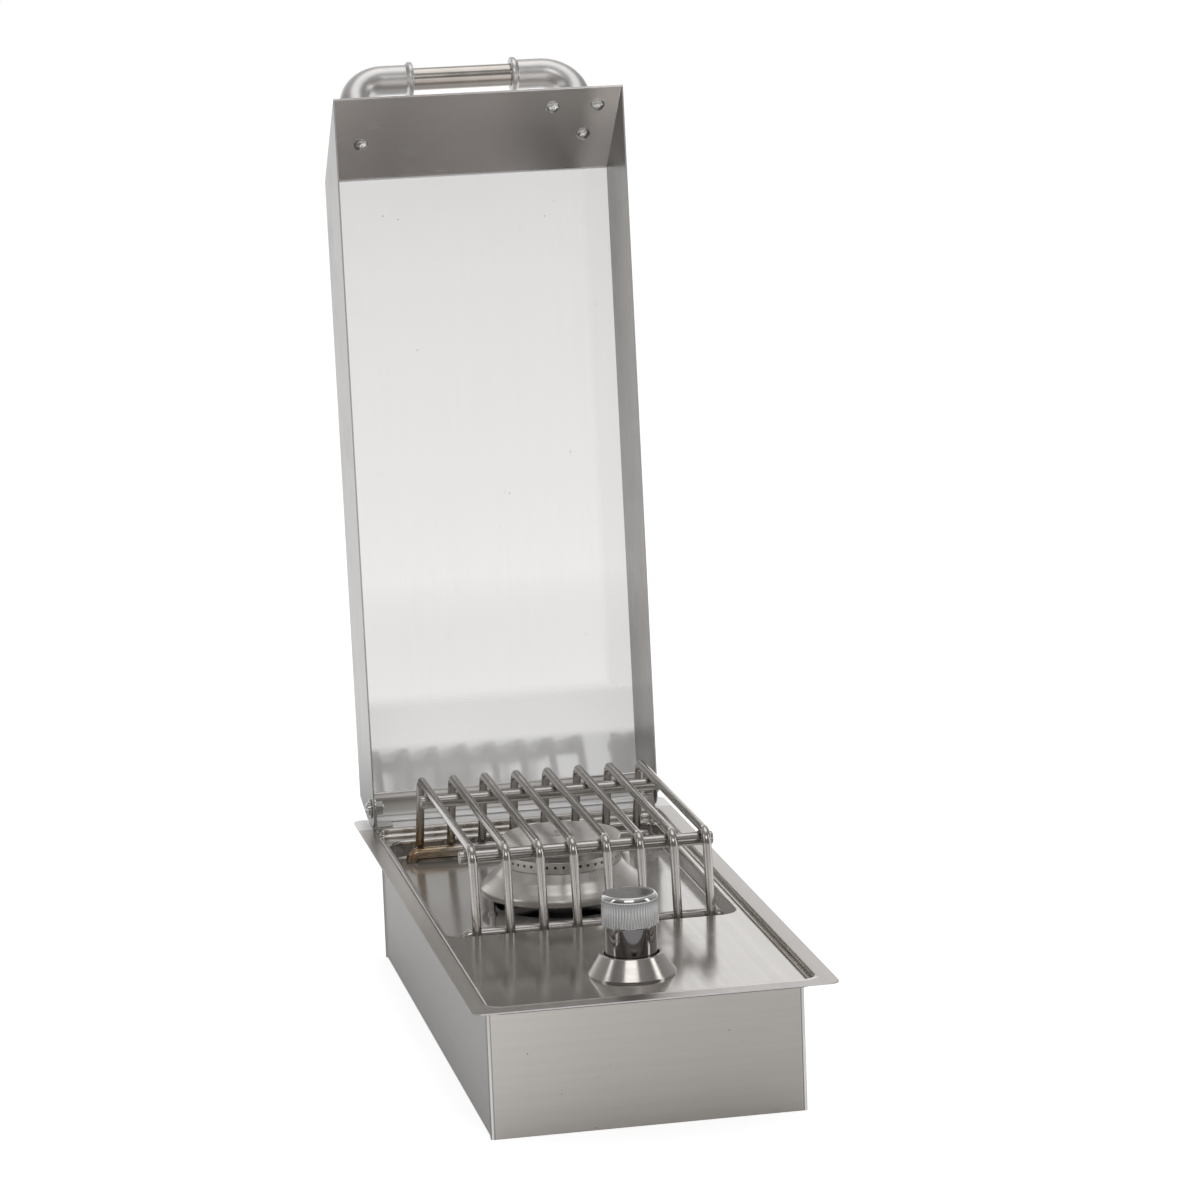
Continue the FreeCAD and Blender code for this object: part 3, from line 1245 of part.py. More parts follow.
def handle_elbow(label, way):
    """Left (way -1) or right (way 1) elbow, with a collar and a socket for the tube."""
    elbow = piece(label, 0, panel_y, panel_z, panel_tilt)
    sketch = elbow.sketch("XZ", handle_slope)
    outline(sketch, [(handle_half * way, 0), (handle_half * way, handle_reach),
                     (elbow_end * way, handle_reach)], {1: elbow_bend}, closed=False)
    elbow.pipe(sketch, elbow_radius)
    sketch = elbow.sketch("YZ", elbow_end * way)
    circle(sketch, -handle_slope, handle_reach, collar_radius)
    elbow.pad(sketch, collar_width, reverse=(way < 0))
    elbow.soften(lambda box: near(box.XMin, box.XMax) and box.YLength > elbow_radius.value * 2 + 1, 1)
    sketch = elbow.sketch("YZ", (elbow_end - 1) * way)
    circle(sketch, -handle_slope, handle_reach, tube_outer + fit_gap)
    elbow.pocket(sketch, tube_socket + 1, reverse=(way > 0))
    sketch = elbow.sketch("XY", -1)
    circle(sketch, handle_half * way, -handle_slope, screw_radius)
    elbow.pocket(sketch, screw_reach + screw_bottom + 1, reverse=True)
    return elbow


handle_elbow("handle_elbow_left", -1)
handle_elbow("handle_elbow_right", 1)

handle = piece("handle_tube", 0, panel_y, panel_z, panel_tilt)
sketch = handle.sketch("YZ", -tube_in)
circle(sketch, -handle_slope, handle_reach, tube_outer)
circle(sketch, -handle_slope, handle_reach, tube_outer - tube_wall)
handle.pad(sketch, tube_in * 2)

screws = piece("handle_screws", 0, panel_y, panel_z, panel_tilt)
studs = piece("panel_studs", 0, panel_y, panel_z, panel_tilt)


holes = lid.sketch("XY")
hole_turn = FreeCAD.Rotation(V(-1, 0, 0), 90 - front_angle.value)
holes.AttachmentOffset = FreeCAD.Placement(V(0, lid_back.value, crease_z.value), hole_turn)
holes.setExpression("AttachmentOffset.Base.y", lid_back.formula)
holes.setExpression("AttachmentOffset.Base.z", crease_z.formula)
holes.setExpression("AttachmentOffset.Rotation.Angle", (90 - front_angle).formula)


def lid_fastener(group, x, slope, reach_out):
    """A pan head inside the lid with its shank through the panel, and the panel's hole for it."""
    sketch = group.sketch("XY", -lid_sheet)
    circle(sketch, x, -slope, screw_head)
    group.pad(sketch, screw_head_height, reverse=True)
    sketch = group.sketch("XY", -lid_sheet)
    circle(sketch, x, -slope, screw_radius - fit_gap)
    group.pad(sketch, reach_out)
    circle(holes, x, -slope, screw_radius)


for way in (-1, 1):
    lid_fastener(screws, handle_half * way, handle_slope, lid_sheet + screw_reach)
for stud_x in (stud_inner, stud_outer):
    lid_fastener(studs, stud_x, stud_slope, lid_sheet)
screws.soften(level(-(lid_sheet + screw_head_height)), screw_dome)
studs.soften(level(-(lid_sheet + screw_head_height)), screw_dome)
lid.pocket(holes, lid_sheet * 2)


def finish():
    """Check every feature and every piece, then write one file for each piece."""
    DOC.recompute()
    for item in DOC.Objects:
        if "Invalid" in item.State or "Error" in item.State:
            raise ValueError(f"{item.Name} doesn't build: {item.State}")
    os.makedirs("parts", exist_ok=True)
    for made in PIECES:
        shape = made.body.Shape
        if shape.isNull() or not shape.isValid():
            raise ValueError(f"{made.label} isn't a valid solid")
        shape.exportStep(f"parts/{made.label}.step")


finish()
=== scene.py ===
"""Looks of the built in side burner: finishes, detailed pieces, studio and camera.

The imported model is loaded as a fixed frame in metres. Nodes whose form is right keep their mesh
and get a finish. The grate, the knob's grip, the handle and the lid's screws are replaced by pieces
that carry the fine detail. Sizes of the pieces are written in millimetres, those of the finishes
and the studio in metres.
"""

import logging
import math
from dataclasses import dataclass
from enum import Enum
from typing import Callable, NamedTuple, Optional, Union

import bmesh
import bpy
from mathutils import Matrix, Vector, noise

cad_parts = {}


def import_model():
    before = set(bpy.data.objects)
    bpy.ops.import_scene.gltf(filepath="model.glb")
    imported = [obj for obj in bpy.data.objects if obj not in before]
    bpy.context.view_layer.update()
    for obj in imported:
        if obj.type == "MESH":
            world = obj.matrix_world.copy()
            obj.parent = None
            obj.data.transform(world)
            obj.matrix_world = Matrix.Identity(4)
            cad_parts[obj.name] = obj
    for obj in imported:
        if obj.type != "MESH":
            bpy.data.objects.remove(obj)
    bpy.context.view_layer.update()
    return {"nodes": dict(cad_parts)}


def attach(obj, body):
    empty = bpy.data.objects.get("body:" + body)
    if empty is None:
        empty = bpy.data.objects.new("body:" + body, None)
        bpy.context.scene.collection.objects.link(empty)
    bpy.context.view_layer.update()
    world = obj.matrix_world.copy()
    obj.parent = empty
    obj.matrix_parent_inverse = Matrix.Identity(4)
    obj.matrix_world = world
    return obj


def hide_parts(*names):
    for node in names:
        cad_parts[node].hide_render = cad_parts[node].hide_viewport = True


LOG = logging.getLogger("side_burner")
MM = 0.001

Point = tuple[float, float]
Triple = tuple[float, float, float]
Colour = tuple[float, float, float]
Shade = Union[float, Colour]
Stops = tuple[tuple[float, Shade], ...]
Ripple = Callable[[float, float], float]
Socket = bpy.types.NodeSocket


class Grain(Enum):
    """Direction that the brushing of a sheet runs in, as a unit vector."""

    ALONG_X = (1.0, 0.0, 0.0)
    ALONG_Y = (0.0, 1.0, 0.0)
    ALONG_Z = (0.0, 0.0, 1.0)


class Coat(Enum):
    """The named finishes of the object."""

    DECK = "deck_steel"
    BRACKET = "bracket_steel"
    HOUSING_FRONT = "housing_steel_front"
    HOUSING_SIDE = "housing_steel_side"
    LID = "lid_steel"
    LID_SIDE = "lid_side_steel"
    BURNER = "burner_steel"
    CAP = "cap_steel"
    CASTING = "burner_casting"
    FASTENER = "fastener_steel"
    PLATED = "plated_steel"
    BRASS = "machined_brass"
    GRATE = "grate_rod_steel"
    GRATE_BAR = "grate_bar_steel"
    WELD = "weld_metal"
    KNOB = "knob_chrome"
    SKIRT = "skirt_chrome"
    ELBOW = "elbow_chrome"
    TUBE = "tube_steel"
    BEZEL = "turned_steel"
    CERAMIC = "glazed_ceramic"


Materials = dict[Coat, bpy.types.Material]


def rgb(shade: Shade) -> Colour:
    """Colour of a shade, where a plain number is a grey."""
    return shade if isinstance(shade, tuple) else (shade, shade, shade)


def scaled(colour: Colour, factor: float, limit: float = 1.0) -> Colour:
    """A colour made darker or lighter, with no part of it above a limit."""
    return tuple(min(part * factor, limit) for part in colour)


class Axes(NamedTuple):
    """The three parts of a vector."""

    x: Socket
    y: Socket
    z: Socket


class Graph:
    """Adds nodes to one node tree and links them."""

    def __init__(self, tree: bpy.types.NodeTree) -> None:
        """Keep the tree that the nodes go into."""
        self.tree = tree

    def add(self, kind: str, label: str = "", **settings: object) -> bpy.types.Node:
        """Add a node and set plain attributes on it.

        Args:
            kind: The node's type.
            label: A name to find the node by.
            settings: Attributes of the node.

        Returns:
            The new node.
        """
        node = self.tree.nodes.new(kind)
        if label:
            node.name = node.label = label
        for name, value in settings.items():
            setattr(node, name, value)
        return node

    def link(self, source: Socket, target: Socket) -> None:
        """Link an output socket to an input socket."""
        self.tree.links.new(source, target)

    def feed(self, target: Socket, value: object) -> None:
        """Set an input from a plain value, or link it when the value is a socket.

        Args:
            target: The input socket.
            value: A number, a tuple or an output socket. In a colour a number is a grey.
        """
        if isinstance(value, bpy.types.NodeSocket):
            self.link(value, target)
        elif target.type == "RGBA":
            target.default_value = (*rgb(value), 1.0)
        else:
            target.default_value = value

    def feed_all(self, node: bpy.types.Node, *values: object) -> None:
        """Feed a node's inputs in their order.

        Args:
            node: The node.
            values: Numbers, tuples or sockets, or None where an input stays as it is.
        """
        for socket, value in zip(node.inputs, values):
            if value is not None:
                self.feed(socket, value)

    def math(self, operation: str, first: object, second: object = None, third: object = None,
             clamp: bool = False) -> Socket:
        """Add a math node fed by sockets or plain numbers.

        Args:
            operation: The node's operation.
            first: First number or socket.
            second: Second number or socket, if the operation has one.
            third: Third number or socket, if the operation has one.
            clamp: Hold the result between 0 and 1.

        Returns:
            The output socket.
        """
        node = self.add("ShaderNodeMath", operation=operation, use_clamp=clamp)
        self.feed_all(node, first, second, third)
        return node.outputs[0]

    def most(self, first: Socket, *others: Socket) -> Socket:
        """Greatest of several values.

        Args:
            first: One of the values.
            others: The other values.

        Returns:
            The output socket.
        """
        for other in others:
            first = self.math("MAXIMUM", first, other)
        return first

    def vector(self, operation: str, first: object, second: object = None) -> Socket:
        """Add a vector math node fed by sockets or plain triples.

        Args:
            operation: The node's operation.
            first: First triple or socket.
            second: Second triple or socket, if the operation has one.

        Returns:
            The output socket, the value for a length or a distance and else the vector.
        """
        node = self.add("ShaderNodeVectorMath", operation=operation)
        self.feed_all(node, first, second)
        single = operation in ("LENGTH", "DISTANCE", "DOT_PRODUCT")
        return node.outputs["Value" if single else "Vector"]

    def split(self, vector: Socket) -> Axes:
        """Take a vector apart.

        Args:
            vector: The vector.

        Returns:
            Its three parts.
        """
        node = self.add("ShaderNodeSeparateXYZ")
        self.link(vector, node.inputs[0])
        return Axes(*node.outputs)

    def combine(self, x: object, y: object, z: object = None) -> Socket:
        """Put a vector together from sockets or plain numbers.

        Args:
            x: Its first part.
            y: Its second part.
            z: Its third part, or None for nothing.

        Returns:
            The output socket.
        """
        node = self.add("ShaderNodeCombineXYZ")
        self.feed_all(node, x, y, z)
        return node.outputs[0]

    def noise(self, vector: Socket, scale: object, detail: float = 2.0, roughness: float = 0.5) -> Socket:
        """Add a noise texture.

        Args:
            vector: Where the noise is read.
            scale: Grains per unit, a number or a socket.
            detail: Number of finer layers.
            roughness: Strength of the finer layers.

        Returns:
            The factor output socket.
        """
        node = self.add("ShaderNodeTexNoise")
        self.feed(node.inputs["Scale"], scale)
        node.inputs["Detail"].default_value = detail
        node.inputs["Roughness"].default_value = roughness
        self.link(vector, node.inputs["Vector"])
        return node.outputs["Fac"]

    def spread(self, value: Socket, low: float, high: float, to_low: float = 0.0,
               to_high: float = 1.0) -> Socket:
        """Map a value smoothly from one range to another, held at both ends.

        Args:
            value: The value that is mapped.
            low: Value that gives to_low.
            high: Value that gives to_high.
            to_low: Result at and below low.
            to_high: Result at and above high.

        Returns:
            The result's output socket.
        """
        node = self.add("ShaderNodeMapRange", clamp=True, interpolation_type="SMOOTHSTEP")
        self.link(value, node.inputs["Value"])
        limits = {"From Min": low, "From Max": high, "To Min": to_low, "To Max": to_high}
        for name, number in limits.items():
            node.inputs[name].default_value = number
        return node.outputs["Result"]

    def blend(self, factor: object, first: object, second: object, mode: str = "MIX") -> Socket:
        """Mix two colours by a factor.

        Args:
            factor: A number or a socket, 0 for the first colour.
            first: A colour, a grey or a socket.
            second: A colour, a grey or a socket.
            mode: How the colours are mixed.

        Returns:
            The colour output socket.
        """
        node = self.add("ShaderNodeMix", data_type="RGBA", blend_type=mode)
        self.feed(node.inputs[0], factor)
        self.feed(node.inputs[6], first)
        self.feed(node.inputs[7], second)
        return node.outputs[2]

    def ramp(self, factor: Socket, stops: Stops) -> Socket:
        """Turn a value into a colour through a row of stops.

        Args:
            factor: The value, 0 to 1.
            stops: Place and colour or grey of each stop, in rising order.

        Returns:
            The colour output socket.
        """
        node = self.add("ShaderNodeValToRGB")
        row = node.color_ramp.elements
        while len(row) < len(stops):
            row.new(0.5)
        for stop, (place, shade) in zip(row, stops):
            stop.position = place
            stop.color = (*rgb(shade), 1.0)
        self.link(factor, node.inputs["Fac"])
        return node.outputs["Color"]

    def bump(self, height: Socket, depth: object, normal: Socket) -> Socket:
        """Turn a height into a normal.

        Args:
            height: The height, 0 to 1.
            depth: What a height of 1 stands for, in metres.
            normal: The normal that is roughened.

        Returns:
            The normal output socket.
        """
        node = self.add("ShaderNodeBump")
        node.inputs["Strength"].default_value = 1.0
        self.feed(node.inputs["Distance"], depth)
        self.link(height, node.inputs["Height"])
        self.link(normal, node.inputs["Normal"])
        return node.outputs["Normal"]

    def group(self, tree: bpy.types.NodeTree, inputs: dict[str, object]) -> bpy.types.NodeOutputs:
        """Place a node group and feed it.

        Args:
            tree: The group.
            inputs: A number, a tuple or a socket for each input, by its label.

        Returns:
            The group's outputs by their labels.
        """
        node = self.add("ShaderNodeGroup", tree.name, node_tree=tree)
        for label, value in inputs.items():
            self.feed(node.inputs[label], value)
        return node.outputs


# Steel that has been hot, from cold to hot: straw, bronze and dark tints.
HEAT_TINTS: Stops = (
    (0.0, 1.0), (0.3, (0.97, 0.88, 0.70)), (0.55, (0.80, 0.60, 0.40)),
    (0.8, (0.52, 0.40, 0.36)), (1.0, (0.30, 0.27, 0.28)))

# Outputs of the groups that are read as a skin.
SKIN_OUTPUTS = {"Lines": "Float", "Bands": "Float", "Normal": "Vector"}


class ShaderGroups:
    """Node groups for the effects that more than one finish uses."""

    def __init__(self) -> None:
        """Make every group once."""
        self.brushing = self.make_brushing()
        self.turning = self.make_turning()
        self.casting = self.make_casting()
        self.handling = self.make_handling()
        self.edges = self.make_edges()
        self.heat = self.make_heat()

    @staticmethod
    def make(name: str, inputs: dict[str, str], outputs: dict[str, str],
             fill: Callable[[Graph, bpy.types.NodeOutputs], tuple[Socket, ...]]) -> bpy.types.NodeTree:
        """Make a group, its sockets and what is inside.

        Args:
            name: The group's name.
            inputs: Kind of each input by its label.
            outputs: Kind of each output by its label.
            fill: What adds the nodes and gives the sockets for the outputs, in their order.

        Returns:
            The group.
        """
        tree = bpy.data.node_groups.new(name, "ShaderNodeTree")
        for direction, sockets in (("INPUT", inputs), ("OUTPUT", outputs)):
            for label, kind in sockets.items():
                tree.interface.new_socket(label, in_out=direction, socket_type=f"NodeSocket{kind}")
        graph = Graph(tree)
        source = graph.add("NodeGroupInput")
        target = graph.add("NodeGroupOutput")
        graph.feed_all(target, *fill(graph, source.outputs))
        return tree

    def make_brushing(self) -> bpy.types.NodeTree:
        """Fine lines of a brushed sheet over its slow waves, with a change of tone along the lines.

        Returns:
            The group.
        """
        def fill(graph: Graph, inputs: bpy.types.NodeOutputs) -> tuple[Socket, ...]:
            """Add the group's nodes.

            Args:
                graph: The group's graph.
                inputs: What the group takes, by its labels.

            Returns:
                Lines, bands and normal.
            """
            waves = graph.noise(inputs["Vector"], scale=7.0, detail=1.0, roughness=0.4)
            wavy = graph.bump(waves, inputs["Wave Depth"], inputs["Normal"])
            stretched = graph.vector("MULTIPLY", inputs["Vector"], inputs["Stretch"])
            lines = graph.noise(stretched, scale=1.0, detail=4.0, roughness=0.7)
            slower = graph.vector("MULTIPLY", stretched, (0.11, 0.11, 0.11))
            bands = graph.noise(slower, scale=1.0, detail=3.0, roughness=0.6)
            return lines, bands, graph.bump(lines, inputs["Depth"], wavy)

        inputs = {"Vector": "Vector", "Stretch": "Vector", "Depth": "Float", "Wave Depth": "Float",
                  "Normal": "Vector"}
        return self.make("brushing", inputs, SKIN_OUTPUTS, fill)

    def make_turning(self) -> bpy.types.NodeTree:
        """Rings that a lathe tool leaves round an upright axis.

        Returns:
            The group.
        """
        def fill(graph: Graph, inputs: bpy.types.NodeOutputs) -> tuple[Socket, ...]:
            """Add the group's nodes.

            Args:
                graph: The group's graph.
                inputs: What the group takes, by its labels.

            Returns:
                Lines, bands and normal.
            """
            inner = graph.vector("SUBTRACT", inputs["Vector"], inputs["Centre"])
            flat = graph.vector("MULTIPLY", inner, (1.0, 1.0, 0.0))
            at = graph.split(inner)
            turn = graph.math("ARCTAN2", at.y, at.x)
            rise = graph.math("MULTIPLY", at.z, 0.83)
            across = graph.math("ADD", graph.vector("LENGTH", flat), rise)
            place = graph.combine(graph.math("MULTIPLY", across, inputs["Rings"]),
                                  graph.math("MULTIPLY", graph.math("SINE", turn), 0.7),
                                  graph.math("MULTIPLY", graph.math("COSINE", turn), 0.7))
            lines = graph.noise(place, scale=1.0, detail=3.0, roughness=0.65)
            slower = graph.vector("MULTIPLY", place, (0.12, 1.6, 1.6))
            bands = graph.noise(slower, scale=1.0, detail=2.0, roughness=0.5)
            return lines, bands, graph.bump(lines, inputs["Depth"], inputs["Normal"])

        inputs = {"Vector": "Vector", "Centre": "Vector", "Rings": "Float", "Depth": "Float",
                  "Normal": "Vector"}
        return self.make("turning", inputs, SKIN_OUTPUTS, fill)

    def make_casting(self) -> bpy.types.NodeTree:
        """Grainy skin of cast, plated or fired surfaces.

        Returns:
            The group.
        """
        def fill(graph: Graph, inputs: bpy.types.NodeOutputs) -> tuple[Socket, ...]:
            """Add the group's nodes.

            Args:
                graph: The group's graph.
                inputs: What the group takes, by its labels.

            Returns:
                Lines, bands and normal.
            """
            grain = graph.noise(inputs["Vector"], inputs["Grain Size"], detail=6.0, roughness=0.62)
            clouds = graph.noise(inputs["Vector"], scale=60.0, detail=3.0, roughness=0.5)
            return grain, clouds, graph.bump(grain, inputs["Depth"], inputs["Normal"])

        inputs = {"Vector": "Vector", "Grain Size": "Float", "Depth": "Float", "Normal": "Vector"}
        return self.make("casting", inputs, SKIN_OUTPUTS, fill)

    def make_handling(self) -> bpy.types.NodeTree:
        """Smudges, specks and a few thin scratches left by use and cleaning, and a mask of crevices from
        ambient occlusion for painted shade.

        Returns:
            The group.
        """
        def fill(graph: Graph, inputs: bpy.types.NodeOutputs) -> tuple[Socket, ...]:
            """Add the group's nodes.

            Args:
                graph: The group's graph.
                inputs: What the group takes, by its labels.

            Returns:
                Smudges, scratches, specks and crevice shade.
            """
            position = inputs["Vector"]
            broad = graph.spread(graph.noise(position, scale=9.0, detail=4.0, roughness=0.55), 0.42, 0.68)
            patchy = graph.spread(graph.noise(position, scale=46.0, detail=5.0, roughness=0.6), 0.35, 0.7)
            slanted = graph.add("ShaderNodeMapping", vector_type="POINT")
            slanted.inputs["Rotation"].default_value = (0.35, 0.5, 0.62)
            slanted.inputs["Scale"].default_value = (14.0, 1100.0, 30.0)
            graph.link(position, slanted.inputs["Vector"])
            thin = graph.noise(slanted.outputs["Vector"], scale=1.0, detail=1.0, roughness=0.4)
            streaks = graph.spread(thin, 0.73, 0.8)
            where = graph.spread(graph.noise(position, scale=21.0), 0.57, 0.7)
            dust = graph.add("ShaderNodeTexVoronoi", feature="F1", distance="EUCLIDEAN")
            dust.inputs["Scale"].default_value = 95.0
            dust.inputs["Randomness"].default_value = 1.0
            graph.link(position, dust.inputs["Vector"])
            dots = graph.spread(dust.outputs["Distance"], 0.03, 0.07, 1.0, 0.0)
            sparse = graph.spread(graph.noise(position, scale=33.0), 0.58, 0.64)
            # Painted shade: ambient occlusion finds the crevices that the finishes darken.
            hollow = graph.add("ShaderNodeAmbientOcclusion", samples=4)
            hollow.inputs["Distance"].default_value = 0.012
            return (graph.math("MULTIPLY", broad, patchy), graph.math("MULTIPLY", streaks, where),
                    graph.math("MULTIPLY", dots, sparse),
                    graph.spread(hollow.outputs["AO"], 0.25, 0.75, 1.0, 0.0))

        outputs = {"Smudges": "Float", "Scratches": "Float", "Specks": "Float", "Crevice Shade": "Float"}
        return self.make("handling", {"Vector": "Vector"}, outputs, fill)

    def make_edges(self) -> bpy.types.NodeTree:
        """Softly rounded edges: their normal, and a mask of where handling has polished them.

        Returns:
            The group.
        """
        def fill(graph: Graph, inputs: bpy.types.NodeOutputs) -> tuple[Socket, ...]:
            """Add the group's nodes.

            Args:
                graph: The group's graph.
                inputs: What the group takes, by its labels.

            Returns:
                Normal and wear.
            """
            soft = graph.add("ShaderNodeBevel", samples=4)
            graph.link(inputs["Radius"], soft.inputs["Radius"])
            true_normal = graph.add("ShaderNodeNewGeometry").outputs["Normal"]
            alike = graph.vector("DOT_PRODUCT", soft.outputs["Normal"], true_normal)
            return soft.outputs["Normal"], graph.spread(alike, 0.86, 0.99, 1.0, 0.0)

        return self.make("worn_edges", {"Radius": "Float"}, {"Normal": "Vector", "Wear": "Float"}, fill)

    def make_heat(self) -> bpy.types.NodeTree:
        """Tints of steel that has been hot, by a mask from cold to hot.

        Returns:
            The group.
        """
        def fill(graph: Graph, inputs: bpy.types.NodeOutputs) -> tuple[Socket, ...]:
            """Add the group's nodes.

            Args:
                graph: The group's graph.
                inputs: What the group takes, by its labels.

            Returns:
                Tint.
            """
            uneven = graph.noise(inputs["Vector"], scale=90.0, detail=3.0)
            wobble = graph.spread(uneven, 0.2, 0.8, 0.75, 1.2)
            shifted = graph.math("MULTIPLY", inputs["Mask"], wobble, clamp=True)
            return (graph.ramp(shifted, HEAT_TINTS),)

        return self.make("heat_tint", {"Vector": "Vector", "Mask": "Float"}, {"Tint": "Color"}, fill)


class Site(NamedTuple):
    """A material under construction: its graph, the shared groups and the place on the object in metres."""

    graph: Graph
    groups: ShaderGroups
    position: Socket
    at: Axes


class Skin(NamedTuple):
    """What a finish's grain gives to the shader: fine lines, broad bands and the normal."""

    lines: Socket
    bands: Socket
    normal: Socket


class Marks(NamedTuple):
    """Places where a finish has painted light or shade, brighter or of another tone than its grain makes
    it, or is duller or mistier.
    """

    bright: Optional[Socket] = None
    tone: Optional[Socket] = None
    dull: Optional[Socket] = None
    misty: Optional[Socket] = None


# Colour painted where polished steel should mirror something white, a painted reflection, and how far those
# places stop being metal.
PAINTED_REFLECTION_COLOUR = (0.97, 0.965, 0.96)
MIST_COVER = 0.85
# Tone of dust specks and painted crevice shade, and of edges polished by use, next to the finish's own, and
# how much of the edges shows.
SPECK_AND_SHADE_TONE = 0.4
WORN_TONE = 1.25
WORN_LIMIT = 0.95
WORN_SHARE = 0.35
# How much rougher a scratch is.
SCRATCH_DULL = 0.15
# Where a grain's bands turn from dark to light, and how far the light goes next to the dark.
BAND_TURN = (0.32, 0.68)
BAND_LIGHT = 0.6
# Where a grain's lines turn from smooth to rough, and the roughness of both, next to the finish's own.
LINE_TURN = (0.25, 0.75)
LINE_SMOOTH = 0.85
LINE_ROUGH = 1.15
# Added to a brushed face's tangent, which would be nothing where the face looks along the brushing.
NEVER_ZERO = (0.0010, 0.0015, 0.0020)
# Brush marks per metre along the grain.
MARKS_ALONG = 9.0


@dataclass(frozen=True)
class Finish:
    """A finish with a cast or plated grain, and what all the other finishes share.

    Attributes:
        colour: Reflection colour.
        roughness: Middle value of the roughness.
        depth: Depth of the grain in metres.
        grains: Grains per metre of the skin.
        tone: How far the bands change the colour.
        crevice_shade: How far the crevices darken, a painted shade.
        smudge: How far smudges dull the polish.
        edge: Radius of the softened edges in metres.
        metallic: 1 for a metal and 0 for a glaze.
        anisotropy: How far reflections stretch across the grain.
    """

    colour: Colour
    roughness: float
    depth: float = 0.00001
    grains: float = 700.0
    tone: float = 0.05
    crevice_shade: float = 0.35
    smudge: float = 0.06
    edge: float = 0.0004
    metallic: float = 1.0
    anisotropy: float = 0.0

    def skin(self, site: Site, normal: Socket) -> Skin:
        """Place the finish's grain, which roughens a normal."""
        return self.take(site, site.groups.casting, normal, {"Grain Size": self.grains})

    def take(self, site: Site, tree: bpy.types.NodeTree, normal: Socket, inputs: dict[str, object]) -> Skin:
        """Place a grain group and read it.

        Args:
            site: The material under construction.
            tree: The grain's group.
            normal: The normal that the grain roughens.
            inputs: What the group takes besides the place, the depth and the normal.

        Returns:
            The grain's lines, bands and normal.
        """
        shared = {"Vector": site.position, "Depth": self.depth, "Normal": normal}
        outputs = site.graph.group(tree, {**shared, **inputs})
        return Skin(outputs["Lines"], outputs["Bands"], outputs["Normal"])

    def along(self, site: Site) -> Optional[Socket]:
        """Direction that the grain runs in, or None where it has none."""
        return None

    def tinted(self, site: Site, colour: Socket) -> Socket:
        """Colour with the finish's own tint laid over it, here as it is."""
        return colour

    def heated(self, site: Site, colour: Socket, mask: Socket) -> Socket:
        """Colour with the tint of heat laid over it by a mask from cold to hot."""
        tint = site.graph.group(site.groups.heat, {"Vector": site.position, "Mask": mask})["Tint"]
        return site.graph.blend(1.0, colour, tint, "MULTIPLY")

    def marks(self, site: Site) -> Marks:
        """Places that differ from the grain, here none."""
        return Marks()

    def metal(self, graph: Graph, marks: Marks) -> object:
        """How metallic the surface is.

        Args:
            graph: The material's graph.
            marks: The places that differ from the grain.

        Returns:
            The finish's own number, or a socket where bright and misty places take from it.
        """
        masks = [mask for mask in (marks.bright, marks.misty) if mask is not None]
        if not masks:
            return self.metallic
        return graph.math("MULTIPLY_ADD", graph.most(*masks), -MIST_COVER, self.metallic)

    def paint(self, site: Site, skin: Skin, marks: Marks, use: bpy.types.NodeOutputs,
              wear: Socket) -> Socket:
        """Lay the bands, the tints, the dust specks, the painted shade in crevices, the worn edges and the
        marks over the colour.

        Args:
            site: The material under construction.
            skin: The grain.
            marks: The places that differ from the grain.
            use: Outputs of the handling's group.
            wear: Mask of the polished edges.

        Returns:
            The colour.
        """
        graph = site.graph
        dark = scaled(self.colour, 1.0 - self.tone)
        light = scaled(self.colour, 1.0 + self.tone * BAND_LIGHT)
        plain = graph.blend(graph.spread(skin.bands, *BAND_TURN), dark, light)
        # Dust specks, and painted shade in the crevices.
        specks_and_shade = graph.most(use["Specks"], graph.math("MULTIPLY", use["Crevice Shade"], self.crevice_shade))
        shaded = graph.blend(specks_and_shade, self.tinted(site, plain), scaled(self.colour, SPECK_AND_SHADE_TONE))
        polished = scaled(self.colour, WORN_TONE, WORN_LIMIT)
        finished = graph.blend(graph.math("MULTIPLY", wear, WORN_SHARE), shaded, polished)
        # Painted light and shade: the marks' tones, and a near white painted reflection on their bright
        # places.
        if marks.tone is not None:
            finished = graph.blend(1.0, finished, marks.tone, "MULTIPLY")
        if marks.bright is not None:
            finished = graph.blend(marks.bright, finished, PAINTED_REFLECTION_COLOUR)
        return finished

    def roughen(self, graph: Graph, skin: Skin, marks: Marks, use: bpy.types.NodeOutputs) -> Socket:
        """Vary the roughness by the grain's lines, smudges, scratches and dull places.

        Args:
            graph: The material's graph.
            skin: The grain.
            marks: The places that differ from the grain.
            use: Outputs of the handling's group.

        Returns:
            The roughness.
        """
        rough = graph.spread(skin.lines, *LINE_TURN, self.roughness * LINE_SMOOTH,
                             self.roughness * LINE_ROUGH)
        for mask, amount in (("Smudges", self.smudge), ("Scratches", SCRATCH_DULL)):
            more = graph.math("MULTIPLY", use[mask], amount)
            rough = graph.math("ADD", rough, more, clamp=True)
        if marks.dull is not None:
            rough = graph.math("ADD", rough, marks.dull, clamp=True)
        return rough

